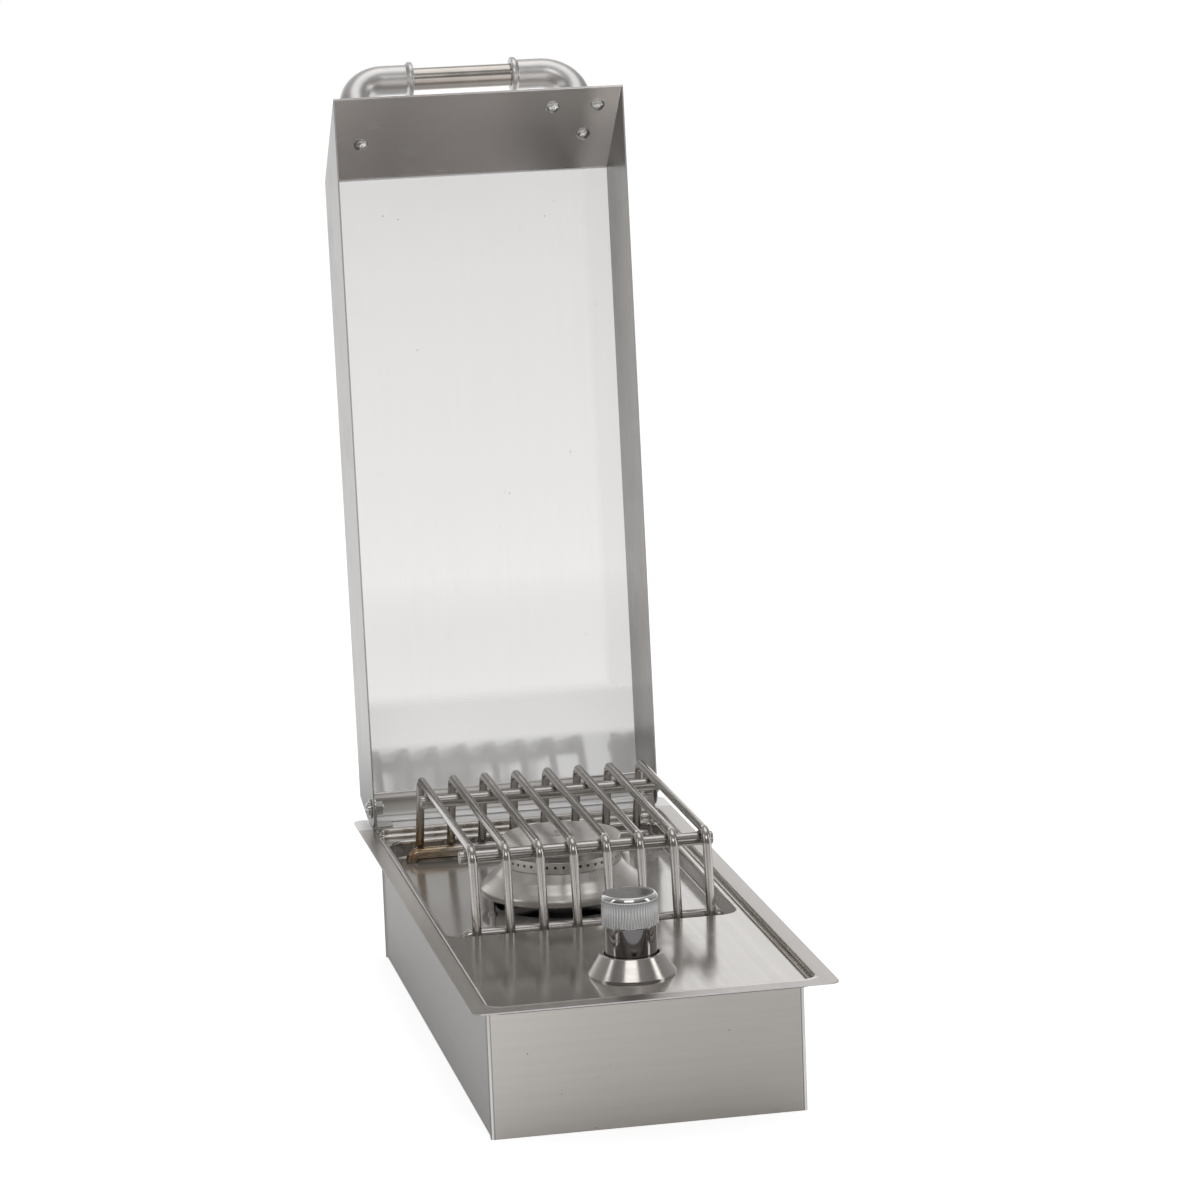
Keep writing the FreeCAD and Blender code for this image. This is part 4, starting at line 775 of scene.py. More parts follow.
    def build(self, name: str, groups: ShaderGroups) -> bpy.types.Material:
        """Make the material.

        Args:
            name: The material's name.
            groups: The shared groups.

        Returns:
            The new material.
        """
        material = bpy.data.materials.new(name)
        material.use_nodes = True
        material.node_tree.nodes.clear()
        graph = Graph(material.node_tree)
        shader = graph.add("ShaderNodeBsdfPrincipled", "surface")
        output = graph.add("ShaderNodeOutputMaterial")
        graph.link(shader.outputs["BSDF"], output.inputs["Surface"])
        position = graph.add("ShaderNodeTexCoord").outputs["Object"]
        site = Site(graph, groups, position, graph.split(position))
        edges = graph.group(groups.edges, {"Radius": self.edge})
        use = graph.group(groups.handling, {"Vector": position})
        skin = self.skin(site, edges["Normal"])
        marks = self.marks(site)
        graph.link(skin.normal, shader.inputs["Normal"])
        graph.feed(shader.inputs["Metallic"], self.metal(graph, marks))
        graph.link(self.paint(site, skin, marks, use, edges["Wear"]), shader.inputs["Base Color"])
        graph.link(self.roughen(graph, skin, marks, use), shader.inputs["Roughness"])
        direction = self.along(site) if self.anisotropy else None
        if direction is not None:
            shader.inputs["Anisotropic"].default_value = self.anisotropy
            facing = graph.add("ShaderNodeNewGeometry").outputs["Normal"]
            across = graph.vector("ADD", graph.vector("CROSS_PRODUCT", facing, direction), NEVER_ZERO)
            graph.link(graph.vector("NORMALIZE", across), shader.inputs["Tangent"])
        return material


@dataclass(frozen=True)
class Brushed(Finish):
    """A brushed sheet.

    Attributes:
        grain: Direction of the brushing.
        lines: Brush lines per metre across the grain.
        wave_depth: Height of the sheet's slow waves in metres.
        bow: How far the sheet bows in toward its lower fold, in metres.
        bow_from: Height where the bow is full.
        bow_to: Height where it starts.
    """

    grain: Grain = Grain.ALONG_Y
    lines: float = 1900.0
    wave_depth: float = 0.0002
    bow: float = 0.0
    bow_from: float = 0.0
    bow_to: float = 0.0

    def skin(self, site: Site, normal: Socket) -> Skin:
        """Place the brushing over the sheet's bow.

        Args:
            site: The material under construction.
            normal: The normal that the brushing roughens.

        Returns:
            The brushing's lines, bands and normal.
        """
        if self.bow:
            drop = site.graph.spread(site.at.z, self.bow_from, self.bow_to, 1.0, 0.0)
            normal = site.graph.bump(drop, self.bow, normal)
        stretch = tuple(MARKS_ALONG if part else self.lines for part in self.grain.value)
        inputs = {"Stretch": stretch, "Wave Depth": self.wave_depth}
        return self.take(site, site.groups.brushing, normal, inputs)

    def along(self, site: Site) -> Optional[Socket]:
        """The brushing's direction."""
        return site.graph.combine(*self.grain.value)


# Painted shade on the lid's slanted front: its tones from its left side to its right, darkest left of its
# middle.
SLANT_TONES: Stops = (
    (0.0, (0.80, 0.78, 0.77)), (0.2, (0.66, 0.64, 0.63)), (0.6, (0.86, 0.835, 0.825)),
    (0.9, (0.95, 0.93, 0.92)))
# Painted reflections: light and dark bands that the lid's rear rest mirrors, from its front edge to its
# rear one.
REST_TONES: Stops = (
    (0.0, 1.0), (0.24, 1.0), (0.27, (0.35, 0.33, 0.31)), (0.30, 1.0), (0.40, (0.62, 0.61, 0.58)),
    (0.58, (0.50, 0.49, 0.46)), (0.72, (0.30, 0.28, 0.26)), (0.80, (0.42, 0.40, 0.37)), (0.86, 1.0),
    (0.91, (0.9, 0.89, 0.87)), (0.95, (0.30, 0.27, 0.24)), (1.0, (0.25, 0.22, 0.19)))


@dataclass(frozen=True)
class LidSheet(Brushed):
    """The lid's bent sheet, with painted light inside beside its right side and over its fold, and a
    painted highlight on its crease.

    Attributes:
        crease: Height of the crease under the slanted front, in metres.
        crease_line: Distances from it between which its painted highlight fades out.
        crease_highlight: Brightness of that painted highlight.
        slant_start: Heights over the crease between which the slanted front's painted shade grows.
        fold: Height of the lower fold.
        fold_rise: Height over it where the painted reflections of the rest end.
        rest: Where the rear rest starts and ends, y in metres.
        hem_span: Shares of the rest between which its hem's painted highlight fades out.
        hem_highlight: Strength of that painted highlight.
        inner_face: Forward facings between which a face counts as the inner one.
        side: Half the lid's inside width.
        side_light: Strength of the painted light beside the right side.
        side_light_width: Width of that painted light.
        side_light_fade: How far it fades to either hand of its edge.
        low_light: Strength of the painted light over the fold.
        low_light_span: Heights between which it fades out.
        upper_light: Strength of the thinner painted light above it.
        upper_light_span: Heights between which that fades out.
        lift: How much brighter the sheet is painted low down, a painted light.
        lift_span: Heights between which that fades out.
        polish: How much smoother the sheet is low down, less than nothing.
        polish_span: Heights between which that fades out.
        haze: How much rougher the slanted front is.
        curl: How far the sheet curls in toward its right side, in metres.
        curl_span: Where the curl starts, and where it would end past the side, x.
    """

    crease: float = 0.6399
    crease_line: Point = (0.0004, 0.0016)
    crease_highlight: float = 0.9
    slant_start: Point = (0.001, 0.003)
    fold: float = 0.1196
    fold_rise: float = 0.0012
    rest: Point = (0.294, 0.3515)
    hem_span: Point = (0.20, 0.25)
    hem_highlight: float = 0.8
    inner_face: Point = (-0.95, -0.8)
    side: float = 0.1198
    side_light: float = 0.25
    side_light_width: float = 0.021
    side_light_fade: float = 0.004
    low_light: float = 0.85
    low_light_span: Point = (0.152, 0.172)
    upper_light: float = 0.5
    upper_light_span: Point = (0.19, 0.205)
    lift: float = 1.20
    lift_span: Point = (0.17, 0.29)
    polish: float = -0.06
    polish_span: Point = (0.20, 0.27)
    haze: float = 0.12
    curl: float = 0.0085
    curl_span: Point = (0.088, 0.158)

    def skin(self, site: Site, normal: Socket) -> Skin:
        """Curl the sheet in beside its right side, and place the brushing."""
        rise = site.graph.spread(site.at.x, *self.curl_span)
        return super().skin(site, site.graph.bump(rise, self.curl, normal))

    def inside(self, site: Site) -> Socket:
        """Mask of the painted light on the lid's inner face.

        Args:
            site: The material under construction.

        Returns:
            The mask.
        """
        graph, at = site.graph, site.at
        facing = graph.split(graph.add("ShaderNodeTexCoord").outputs["Normal"])
        inner = graph.spread(facing.y, *self.inner_face, 1.0, 0.0)
        # Painted light beside the right side, low over the fold and thinner above it.
        start = self.side - self.side_light_width
        beside = graph.spread(at.x, start - self.side_light_fade, start + self.side_light_fade, 0.0,
                              self.side_light)
        low = graph.spread(at.z, *self.low_light_span, self.low_light, 0.0)
        upper_light = graph.spread(at.z, *self.upper_light_span, self.upper_light, 0.0)
        return graph.math("MULTIPLY", graph.most(beside, low, upper_light), inner)

    def marks(self, site: Site) -> Marks:
        """A painted highlight on the crease, painted light low on the inner face, painted shade on the
        slanted front and painted reflections on the rest.

        Args:
            site: The material under construction.

        Returns:
            The bright, toned and dull places.
        """
        graph, at = site.graph, site.at
        from_crease = graph.math("ABSOLUTE", graph.math("SUBTRACT", at.z, self.crease))
        # Painted highlight along the crease.
        crease = graph.spread(from_crease, *self.crease_line, self.crease_highlight, 0.0)
        across = graph.math("MULTIPLY_ADD", at.x, 1.0 / (2 * self.side), 0.5)
        # Painted shade across the slanted front.
        slant = graph.ramp(across, SLANT_TONES)
        high = graph.spread(at.z, *(self.crease + rise for rise in self.slant_start))
        near, far = self.rest
        along = graph.math("DIVIDE", graph.math("SUBTRACT", at.y, near), far - near)
        low = graph.spread(at.z, self.fold, self.fold + self.fold_rise, 1.0, 0.0)
        # Painted highlight on the hem of the rest.
        hem = graph.math("MULTIPLY", low, graph.spread(along, *self.hem_span, self.hem_highlight, 0.0))
        # Painted reflections as light and dark bands on the rest.
        tone = graph.blend(low, graph.blend(high, 1.0, slant), graph.ramp(along, REST_TONES))
        # Painted light: the sheet brighter low down.
        lift = graph.ramp(graph.spread(at.z, *self.lift_span), ((0.0, self.lift), (1.0, 1.0)))
        clear = graph.spread(at.z, *self.polish_span, self.polish, 0.0)
        return Marks(bright=graph.most(crease, self.inside(site), hem),
                     tone=graph.vector("MULTIPLY", tone, lift),
                     dull=graph.math("ADD", clear, graph.math("MULTIPLY", high, self.haze)))


# Painted highlights and shade across the edge of the pan's recess, from inside it to the flange, which they
# leave darker, and the same at its front.
EDGE_TONES: Stops = (
    (0.0, 1.0), (0.18, 1.0), (0.27, (0.55, 0.53, 0.50)), (0.36, (0.60, 0.58, 0.55)),
    (0.42, (1.15, 1.14, 1.12)), (0.50, (1.3, 1.29, 1.27)), (0.60, (0.62, 0.60, 0.58)),
    (0.70, (0.84, 0.83, 0.82)), (1.0, (0.84, 0.83, 0.82)))
FRONT_EDGE_TONES: Stops = (
    (0.0, 1.0), (0.30, 1.0), (0.40, (0.50, 0.48, 0.46)), (0.66, (0.52, 0.50, 0.48)),
    (0.72, (1.3, 1.28, 1.26)), (0.92, (1.25, 1.24, 1.22)), (0.96, (0.84, 0.83, 0.82)),
    (1.0, (0.84, 0.83, 0.82)))
# A painted highlight: a bright stripe across the same edge, which shows on the left.
EDGE_STRIPE: Stops = ((0.0, 0.0), (0.20, 0.0), (0.24, 0.85), (0.38, 0.85), (0.43, 0.0), (1.0, 0.0))


@dataclass(frozen=True)
class PressedSheet(Brushed):
    """The pressed pan, polished inside its recess and duller on its flange, with painted highlights and
    shade along its edge.

    Attributes:
        half: Half the recess's width in metres.
        front: The recess's front, y in metres.
        rear: The recess's rear.
        corner: Radius of its corners.
        edge_width: Width of the painted highlights and shade across its edge.
        front_turn: Distances behind its front between which the front edge's painted highlights and shade
            fade out.
        step: Heights between which the edge rises to the flange.
        flange_dull: How much rougher the flange is.
        flange_turn: Distances past the edge between which that grows.
        well_mist: Strength of the well's misty look, where it is less metallic.
        well_span: Heights between which that fades out.
        rim: Brightness of the painted highlight on the flange's front rim.
        rim_span: Where the rim ends, y in metres.
        back: Brightness of the painted reflection on the flange behind the recess.
        back_span: Where that starts, y in metres.
        stripe_right: Where the left edge's painted highlight stripe would fade out to the right, x in
            metres.
        stripe_front: Distances behind the recess's front between which it grows.
    """

    half: float = 0.1195
    front: float = -0.292
    rear: float = 0.271
    corner: float = 0.011
    edge_width: float = 0.012
    front_turn: Point = (0.001, 0.003)
    step: Point = (0.0995, 0.1010)
    flange_dull: float = 0.16
    flange_turn: Point = (0.0, 0.002)
    well_mist: float = 0.28
    well_span: Point = (0.0965, 0.0990)
    rim: float = 0.5
    rim_span: Point = (-0.3098, -0.3094)
    back: float = 0.65
    back_span: Point = (0.2725, 0.2745)
    stripe_right: Point = (-0.05, -0.04)
    stripe_front: Point = (0.012, 0.014)

    def past_edge(self, site: Site) -> Socket:
        """Distance outside the recess's rounded edge, less than zero inside it.

        Args:
            site: The material under construction.

        Returns:
            The distance in metres.
        """
        graph, at = site.graph, site.at
        middle = (self.front + self.rear) / 2
        across = graph.math("SUBTRACT", graph.math("ABSOLUTE", at.x), self.half - self.corner)
        from_middle = graph.math("ABSOLUTE", graph.math("SUBTRACT", at.y, middle))
        along = graph.math("SUBTRACT", from_middle, (self.rear - self.front) / 2 - self.corner)
        outer = graph.combine(graph.math("MAXIMUM", across, 0.0), graph.math("MAXIMUM", along, 0.0))
        inner = graph.math("MINIMUM", graph.most(across, along), 0.0)
        far = graph.math("ADD", graph.vector("LENGTH", outer), inner)
        return graph.math("SUBTRACT", far, self.corner)

    def marks(self, site: Site) -> Marks:
        """Painted light and dark lines along the recess's edge, the duller flange and its painted bright
        places.

        Args:
            site: The material under construction.

        Returns:
            The bright, toned, dull and misty places.
        """
        graph, at = site.graph, site.at
        past = self.past_edge(site)
        top = graph.spread(at.z, *self.step)
        place = graph.math("DIVIDE", graph.math("ADD", past, self.edge_width / 2), self.edge_width)
        forward = graph.spread(at.y, *(self.front + behind for behind in self.front_turn), 1.0, 0.0)
        # Painted highlights and shade along the recess's edge.
        lines = graph.blend(forward, graph.ramp(place, EDGE_TONES), graph.ramp(place, FRONT_EDGE_TONES))
        dull = graph.math("MULTIPLY", graph.spread(past, *self.flange_turn, 0.0, self.flange_dull), top)
        # Painted highlight on the front rim and painted reflection on the flange behind the recess.
        rim = graph.spread(at.y, *self.rim_span, self.rim, 0.0)
        back = graph.math("MULTIPLY", graph.spread(at.y, *self.back_span, 0.0, self.back), top)
        # Painted highlight: a stripe on the recess's left edge.
        left = graph.spread(at.x, *self.stripe_right, 1.0, 0.0)
        length = graph.spread(at.y, *(self.front + behind for behind in self.stripe_front))
        stripe = graph.math("MULTIPLY", graph.math("MULTIPLY", left, length),
                            graph.math("MULTIPLY", graph.ramp(place, EDGE_STRIPE), top))
        return Marks(bright=graph.most(rim, back, stripe), tone=graph.blend(top, 1.0, lines), dull=dull,
                     misty=graph.spread(at.z, *self.well_span, self.well_mist, 0.0))


# Painted highlight and shade beside the housing's upright corners, from a corner inward.
CORNER_LIGHT: Stops = (
    (0.0, 0.0), (0.06, 0.0), (0.09, 1.0), (0.32, 1.0), (0.36, 0.0), (0.50, 0.0), (0.54, 0.5), (0.60, 0.0),
    (1.0, 0.0))
CORNER_TONES: Stops = (
    (0.0, (0.55, 0.54, 0.53)), (0.05, (0.55, 0.54, 0.53)), (0.09, 1.0), (0.34, 1.0),
    (0.38, (0.55, 0.54, 0.53)), (0.48, (0.6, 0.59, 0.58)), (0.53, 1.0), (1.0, 1.0))
# Painted light and shade on the housing's front, lighter at its left, from left to right.
FRONT_TONES: Stops = (
    (0.0, (1.22, 1.2, 1.19)), (0.35, (1.05, 1.04, 1.03)), (0.7, (0.96, 0.95, 0.94)),
    (1.0, (0.93, 0.92, 0.90)))


@dataclass(frozen=True)
class FoldedSheet(Brushed):
    """The housing's front or back sheet with a painted highlight and shade beside its upright corners.

    Attributes:
        corner: Place of the corners, x in metres.
        corner_width: Width of the painted highlight and shade beside a corner.
        across: Share of the front's tones that a metre takes.
    """

    corner: float = 0.117
    corner_width: float = 0.006
    across: float = 4.2

    def marks(self, site: Site) -> Marks:
        """Painted bright and dark lines beside a corner, and painted light and shade from left to right.

        Args:
            site: The material under construction.

        Returns:
            The bright and toned places.
        """
        graph, at = site.graph, site.at
        inside = graph.math("SUBTRACT", self.corner, graph.math("ABSOLUTE", at.x))
        place = graph.math("DIVIDE", inside, self.corner_width, clamp=True)
        across = graph.math("MULTIPLY_ADD", at.x, self.across, 0.5)
        # Painted light and shade: tones from left to right and beside the corners.
        tone = graph.vector("MULTIPLY", graph.ramp(across, FRONT_TONES), graph.ramp(place, CORNER_TONES))
        return Marks(bright=graph.ramp(place, CORNER_LIGHT), tone=tone)


@dataclass(frozen=True)
class Turned(Finish):
    """A surface turned about an upright axis.

    Attributes:
        centre: The axis, x and y in metres.
        rings: Tool marks per metre.
        heat_from: Distance from the axis where the heat's tint starts, in metres.
        heat_to: Distance from the axis where it is full.
        heat: The strength of the tint, or 0 for none.
    """

    centre: Point = (0.0, 0.0)
    rings: float = 1500.0
    heat_from: float = 0.0
    heat_to: float = 0.0
    heat: float = 0.0

    def skin(self, site: Site, normal: Socket) -> Skin:
        """Place the tool marks."""
        inputs = {"Centre": (*self.centre, 0.0), "Rings": self.rings}
        return self.take(site, site.groups.turning, normal, inputs)

    def out(self, site: Site) -> Socket:
        """The vector from the axis to the place, level."""
        inner = site.graph.vector("SUBTRACT", site.position, (*self.centre, 0.0))
        return site.graph.vector("MULTIPLY", inner, (1.0, 1.0, 0.0))

    def along(self, site: Site) -> Optional[Socket]:
        """Round the axis."""
        round_axis = site.graph.vector("CROSS_PRODUCT", (0.0, 0.0, 1.0), self.out(site))
        return site.graph.vector("NORMALIZE", round_axis)

    def tinted(self, site: Site, colour: Socket) -> Socket:
        """Lay the flame's tint over the colour, out from the axis.

        Args:
            site: The material under construction.
            colour: The plain colour.

        Returns:
            The tinted colour.
        """
        if not self.heat:
            return colour
        distance = site.graph.vector("LENGTH", self.out(site))
        mask = site.graph.spread(distance, self.heat_from, self.heat_to, 0.0, self.heat)
        return self.heated(site, colour, mask)


@dataclass(frozen=True)
class Drawn(Finish):
    """Drawn rod with a heat tint where the flame has reached it.

    Attributes:
        hot_spot: The middle of the tinted place, in metres.
        hot_core: Distance from it up to which the tint is full.
        hot_reach: Distance where the tint ends.
        hot_heat: Strength of the tint.
    """

    hot_spot: Triple = (0.0, 0.0, 0.0)
    hot_core: float = 0.006
    hot_reach: float = 0.045
    hot_heat: float = 0.5

    def tinted(self, site: Site, colour: Socket) -> Socket:
        """Lay the flame's tint over the colour, round the hot spot.

        Args:
            site: The material under construction.
            colour: The plain colour.

        Returns:
            The tinted colour.
        """
        distance = site.graph.vector("DISTANCE", site.position, self.hot_spot)
        mask = site.graph.spread(distance, self.hot_core, self.hot_reach, self.hot_heat, 0.0)
        return self.heated(site, colour, mask)


@dataclass(frozen=True)
class Grip(Finish):
    """The knob's polish, with a painted highlight on its top.

    Attributes:
        top: Height where the top starts, in metres.
        fade: Height over which it grows bright.
        top_highlight: Tone of the painted highlight on the top, next to the finish's own.
    """

    top: float = 0.1605
    fade: float = 0.0008
    top_highlight: Colour = (1.7, 1.7, 1.72)

    def marks(self, site: Site) -> Marks:
        """The top, brighter by a painted highlight."""
        high = site.graph.spread(site.at.z, self.top - self.fade, self.top)
        return Marks(tone=site.graph.blend(high, 1.0, self.top_highlight))


BURNER_AXIS = (0.0, 0.062)
KNOB_AXIS = (0.0, -0.215)
GRATE_HOT_CORNER = (-0.0877, 0.232, 0.098)

FINISHES = {
    Coat.DECK: PressedSheet((0.62, 0.595, 0.57), 0.13, 0.000001, anisotropy=0.3, lines=1500.0,
                            grain=Grain.ALONG_Y, wave_depth=0.00008, crevice_shade=0.1),
    Coat.BRACKET: Brushed((0.62, 0.60, 0.575), 0.2, 0.000003, anisotropy=0.3, crevice_shade=0.1),
    Coat.HOUSING_FRONT: FoldedSheet((0.67, 0.64, 0.605), 0.34, 0.000003, anisotropy=0.2,
                                    grain=Grain.ALONG_X, tone=0.02, edge=0.0008, crevice_shade=0.05),
    Coat.HOUSING_SIDE: Brushed((0.65, 0.63, 0.61), 0.34, 0.000003, anisotropy=0.2, grain=Grain.ALONG_Y,
                               tone=0.02, edge=0.0008, crevice_shade=0.05),
    Coat.LID: LidSheet((0.80, 0.785, 0.775), 0.13, 0.0000007, grain=Grain.ALONG_Z, tone=0.006,
                       wave_depth=0.00005, edge=0.0008, bow=0.011, bow_from=0.06, bow_to=0.30, crevice_shade=0.05,
                       smudge=0.015),
    # Painted shade: the lid's sides are the lid's steel made much darker.
    Coat.LID_SIDE: Brushed((0.38, 0.368, 0.354), 0.30, 0.000003, anisotropy=0.2, grain=Grain.ALONG_Z,
                           tone=0.02),
    Coat.BURNER: Turned((0.64, 0.615, 0.585), 0.3, 0.000006, anisotropy=0.5, centre=BURNER_AXIS,
                        rings=1300.0),
    Coat.CAP: Turned((0.80, 0.78, 0.755), 0.42, 0.0000025, anisotropy=0.3, centre=BURNER_AXIS,
                     rings=1300.0, heat_from=0.030, heat_to=0.052, heat=0.08),
    Coat.CASTING: Finish((0.50, 0.50, 0.49), 0.5, 0.00010, grains=900.0, tone=0.12),
    Coat.FASTENER: Finish((0.62, 0.61, 0.59), 0.09, 0.000004, grains=900.0),
    Coat.PLATED: Finish((0.66, 0.66, 0.64), 0.35, 0.00002, grains=500.0, tone=0.14),
    Coat.BRASS: Finish((0.80, 0.62, 0.33), 0.28, 0.000012, grains=1200.0, tone=0.1),
    Coat.GRATE: Drawn((0.50, 0.475, 0.45), 0.17, 0.000002, grains=500.0, hot_spot=GRATE_HOT_CORNER),
    Coat.GRATE_BAR: Drawn((0.46, 0.435, 0.415), 0.2, 0.000002, grains=500.0, tone=0.04,
                          hot_spot=GRATE_HOT_CORNER),
    Coat.WELD: Finish((0.42, 0.38, 0.35), 0.35, 0.00006, grains=1500.0, tone=0.3),
    Coat.KNOB: Grip((0.44, 0.435, 0.43), 0.07, 0.000002, grains=800.0, tone=0.03, smudge=0.1),
    Coat.SKIRT: Finish((0.28, 0.27, 0.268), 0.05, 0.000002, grains=500.0, tone=0.02),
    Coat.ELBOW: Finish((0.64, 0.625, 0.61), 0.36, 0.0000003, grains=2500.0, tone=0.03, smudge=0.02),
    Coat.TUBE: Finish((0.53, 0.495, 0.46), 0.15, 0.000004, tone=0.04),
    Coat.BEZEL: Turned((0.48, 0.455, 0.43), 0.2, 0.000004, anisotropy=0.4, centre=KNOB_AXIS,
                       rings=2200.0),
    Coat.CERAMIC: Finish((0.86, 0.84, 0.78), 0.3, 0.00003, grains=900.0, metallic=0.0),
}

COAT_NODES = {
    Coat.DECK: ("top_pan",),
    Coat.BRACKET: ("hinge_bracket_left", "hinge_bracket_right"),
    Coat.HOUSING_FRONT: ("housing_front", "housing_back"),
    Coat.HOUSING_SIDE: ("housing_bottom", "housing_side_left", "housing_side_right"),
    Coat.LID: ("lid_panel",),
    Coat.LID_SIDE: ("lid_side_left", "lid_side_right"),
    Coat.BURNER: ("burner_bowl", "burner_port_ring"),
    Coat.CAP: ("burner_cap",),
    Coat.CASTING: ("burner_body", "venturi_tube", "gas_valve_body", "gas_inlet_pipe"),
    Coat.FASTENER: ("cap_screw", "burner_standoffs", "igniter_wire", "valve_screws", "hinge_bolts",
                    "hinge_washers", "hinge_nuts", "handle_screws", "panel_studs"),
    Coat.PLATED: ("burner_carrier", "air_shutter", "valve_bracket", "stem_spring_cup"),
    Coat.BRASS: ("orifice_spud", "valve_stem", "inlet_fitting", "inlet_lock_nut"),
    Coat.GRATE: ("grate_rods",),
    Coat.GRATE_BAR: ("grate_top_bars", "grate_lower_bars"),
    Coat.KNOB: ("knob_grip",),
    Coat.SKIRT: ("knob_skirt",),
    Coat.ELBOW: ("handle_elbow_left", "handle_elbow_right"),
    Coat.TUBE: ("handle_tube",),
    Coat.BEZEL: ("knob_bezel",),
    Coat.CERAMIC: ("igniter_post",),
}


# A turned point nearer to the axis than this is on it.
ON_AXIS = 1e-6


def add_object(name: str, data: bpy.types.ID) -> bpy.types.Object:
    """Put a mesh, a camera or a light into the scene.

    Args:
        name: The object's name.
        data: The mesh, the camera or the light.

    Returns:
        The new object.
    """
    made = bpy.data.objects.new(name, data)
    bpy.context.scene.collection.objects.link(made)
    return made


class Form:
    """A mesh under construction in millimetres, made of turned, swept and beaded forms."""

    def __init__(self) -> None:
        """Start with an empty mesh."""
        self.mesh = bmesh.new()

    def lathe(self, profile: list[Point], steps: int, place: Matrix,
              ripple: Optional[Ripple] = None) -> None:
        """Turn a closed profile about its own upright axis.

        Args:
            profile: Radius and height of each point, in order round the section.
            steps: Number of steps round the axis.
            place: Where the axis stands.
            ripple: What is taken off a radius at a height and an angle.
        """
        rows = []
        for radius, height in profile:
            count = 1 if radius < ON_AXIS else steps
            row = []
            for step in range(count):
                angle = 2 * math.pi * step / steps
                reach = radius - (ripple(height, angle) if ripple and count > 1 else 0.0)
                spot = Vector((reach * math.cos(angle), reach * math.sin(angle), height))
                row.append(self.mesh.verts.new(place @ spot))
            rows.append(row)
        for row, after in zip(rows, rows[1:] + rows[:1]):
            self.bridge(row, after, steps)

    def bridge(self, first: list[bmesh.types.BMVert], second: list[bmesh.types.BMVert], steps: int) -> None:
        """Join two rings, or a ring and a single point, with faces.

        Args:
            first: One ring, or one point.
            second: The next ring, or one point.
            steps: Number of steps round.
        """
        if len(first) == 1 and len(second) == 1:
            return
        for step in range(steps):
            after = (step + 1) % steps
            if len(first) == 1:
                self.mesh.faces.new((first[0], second[step], second[after]))
            elif len(second) == 1:
                self.mesh.faces.new((first[step], second[0], first[after]))
            else:
                self.mesh.faces.new((first[step], second[step], second[after], first[after]))

    def sweep(self, path: list[Vector], radius: float, sides: int, bevel: float,
              place: Optional[Matrix] = None) -> None:
        """Sweep a round bar along a path, with softened ends.

        Args:
            path: Points of the path.
            radius: The bar's radius.
            sides: Number of sides of the bar.
            bevel: How far the ends are softened.
            place: Where the path's frame stands, or None for the object's own.
        """
        place = place or Matrix.Identity(4)
        first = (path[1] - path[0]).normalized()
        last = (path[-1] - path[-2]).normalized()
        spots = [path[0], path[0] + first * bevel, *path[1:-1], path[-1] - last * bevel, path[-1]]
        radii = [radius - bevel, *[radius] * (len(spots) - 2), radius - bevel]
        side = first.orthogonal().normalized()
        rows = []
        for index, spot in enumerate(spots):
            before = spots[max(index - 1, 0)]
            after = spots[min(index + 1, len(spots) - 1)]
            ahead = (after - before).normalized()
            side = (side - ahead * side.dot(ahead)).normalized()
            up = ahead.cross(side)
            row = []
            for step in range(sides):
                angle = 2 * math.pi * step / sides
                out = side * math.cos(angle) + up * math.sin(angle)
                row.append(self.mesh.verts.new(place @ (spot + out * radii[index])))
            rows.append(row)
        for row, after in zip(rows, rows[1:]):
            self.bridge(row, after, sides)
        self.mesh.faces.new(list(reversed(rows[0])))
        self.mesh.faces.new(rows[-1])

    def bead(self, spot: Vector, radii: Vector, seed: float) -> None:
        """A lumpy bead of weld metal.

        Args:
            spot: The bead's centre.
            radii: Its reach along each axis.
            seed: A number that shapes its lumps.
        """
        lump_depth, lumps, start = 0.22, 1.7, Vector((seed, seed * 0.37, 0.0))
        made = bmesh.ops.create_icosphere(self.mesh, subdivisions=2, radius=1.0)
        for vert in made["verts"]:
            lump = 1.0 + lump_depth * noise.noise(vert.co * lumps + start)
            vert.co = spot + Vector(part * reach * lump for part, reach in zip(vert.co, radii))

    def finish(self, name: str, material: bpy.types.Material, sharp: float = 34.0) -> bpy.types.Object:
        """Turn the form into an object in metres, smooth but for its sharp edges.

        Args:
            name: The object's name.
            material: What it is made of.
            sharp: Angle in degrees from which an edge stays sharp.

        Returns:
            The new object.
        """
        bmesh.ops.recalc_face_normals(self.mesh, faces=self.mesh.faces)
        data = bpy.data.meshes.new(name)
        self.mesh.to_mesh(data)
        self.mesh.free()
        data.transform(Matrix.Scale(MM, 4))
        data.materials.append(material)
        data.shade_smooth()
        data.set_sharp_from_angle(angle=math.radians(sharp))
        return add_object(name, data)


def rounded(points: list[Vector], radii: dict[int, float], steps: int) -> list[Vector]:
    """Points of a path with some of its corners rounded.

    Args:
        points: The path's corners.
        radii: Radius by the corner's place in the path.
        steps: Number of points on each arc.

    Returns:
        The path's points in order.
    """
    path = []
    for index, corner in enumerate(points):
        if index not in radii:
            path.append(corner)
            continue
        back = (points[index - 1] - corner).normalized()
        ahead = (points[index + 1] - corner).normalized()
        half = back.angle(ahead) / 2
        centre = corner + (back + ahead).normalized() * (radii[index] / math.sin(half))
        enter = (corner + back * (radii[index] / math.tan(half)) - centre).normalized()
        leave = (corner + ahead * (radii[index] / math.tan(half)) - centre).normalized()
        for step in range(steps):
            path.append(centre + enter.slerp(leave, step / (steps - 1)) * radii[index])
    return path


def place_piece(made: bpy.types.Object, body: str, slot: str, *nodes: str) -> bpy.types.Object:
    """Let a piece ride on its body and stand for its CAD nodes.

    Args:
        made: The piece.
        body: The CAD body that it moves with.
        slot: The record's material slot; not used.
        nodes: The CAD nodes that it stands for.

    Returns:
        The same piece.
    """
    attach(made, body)
    if nodes:
        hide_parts(*nodes)
    LOG.info("%s: %d faces on %s", made.name, len(made.data.polygons), body)
    return made


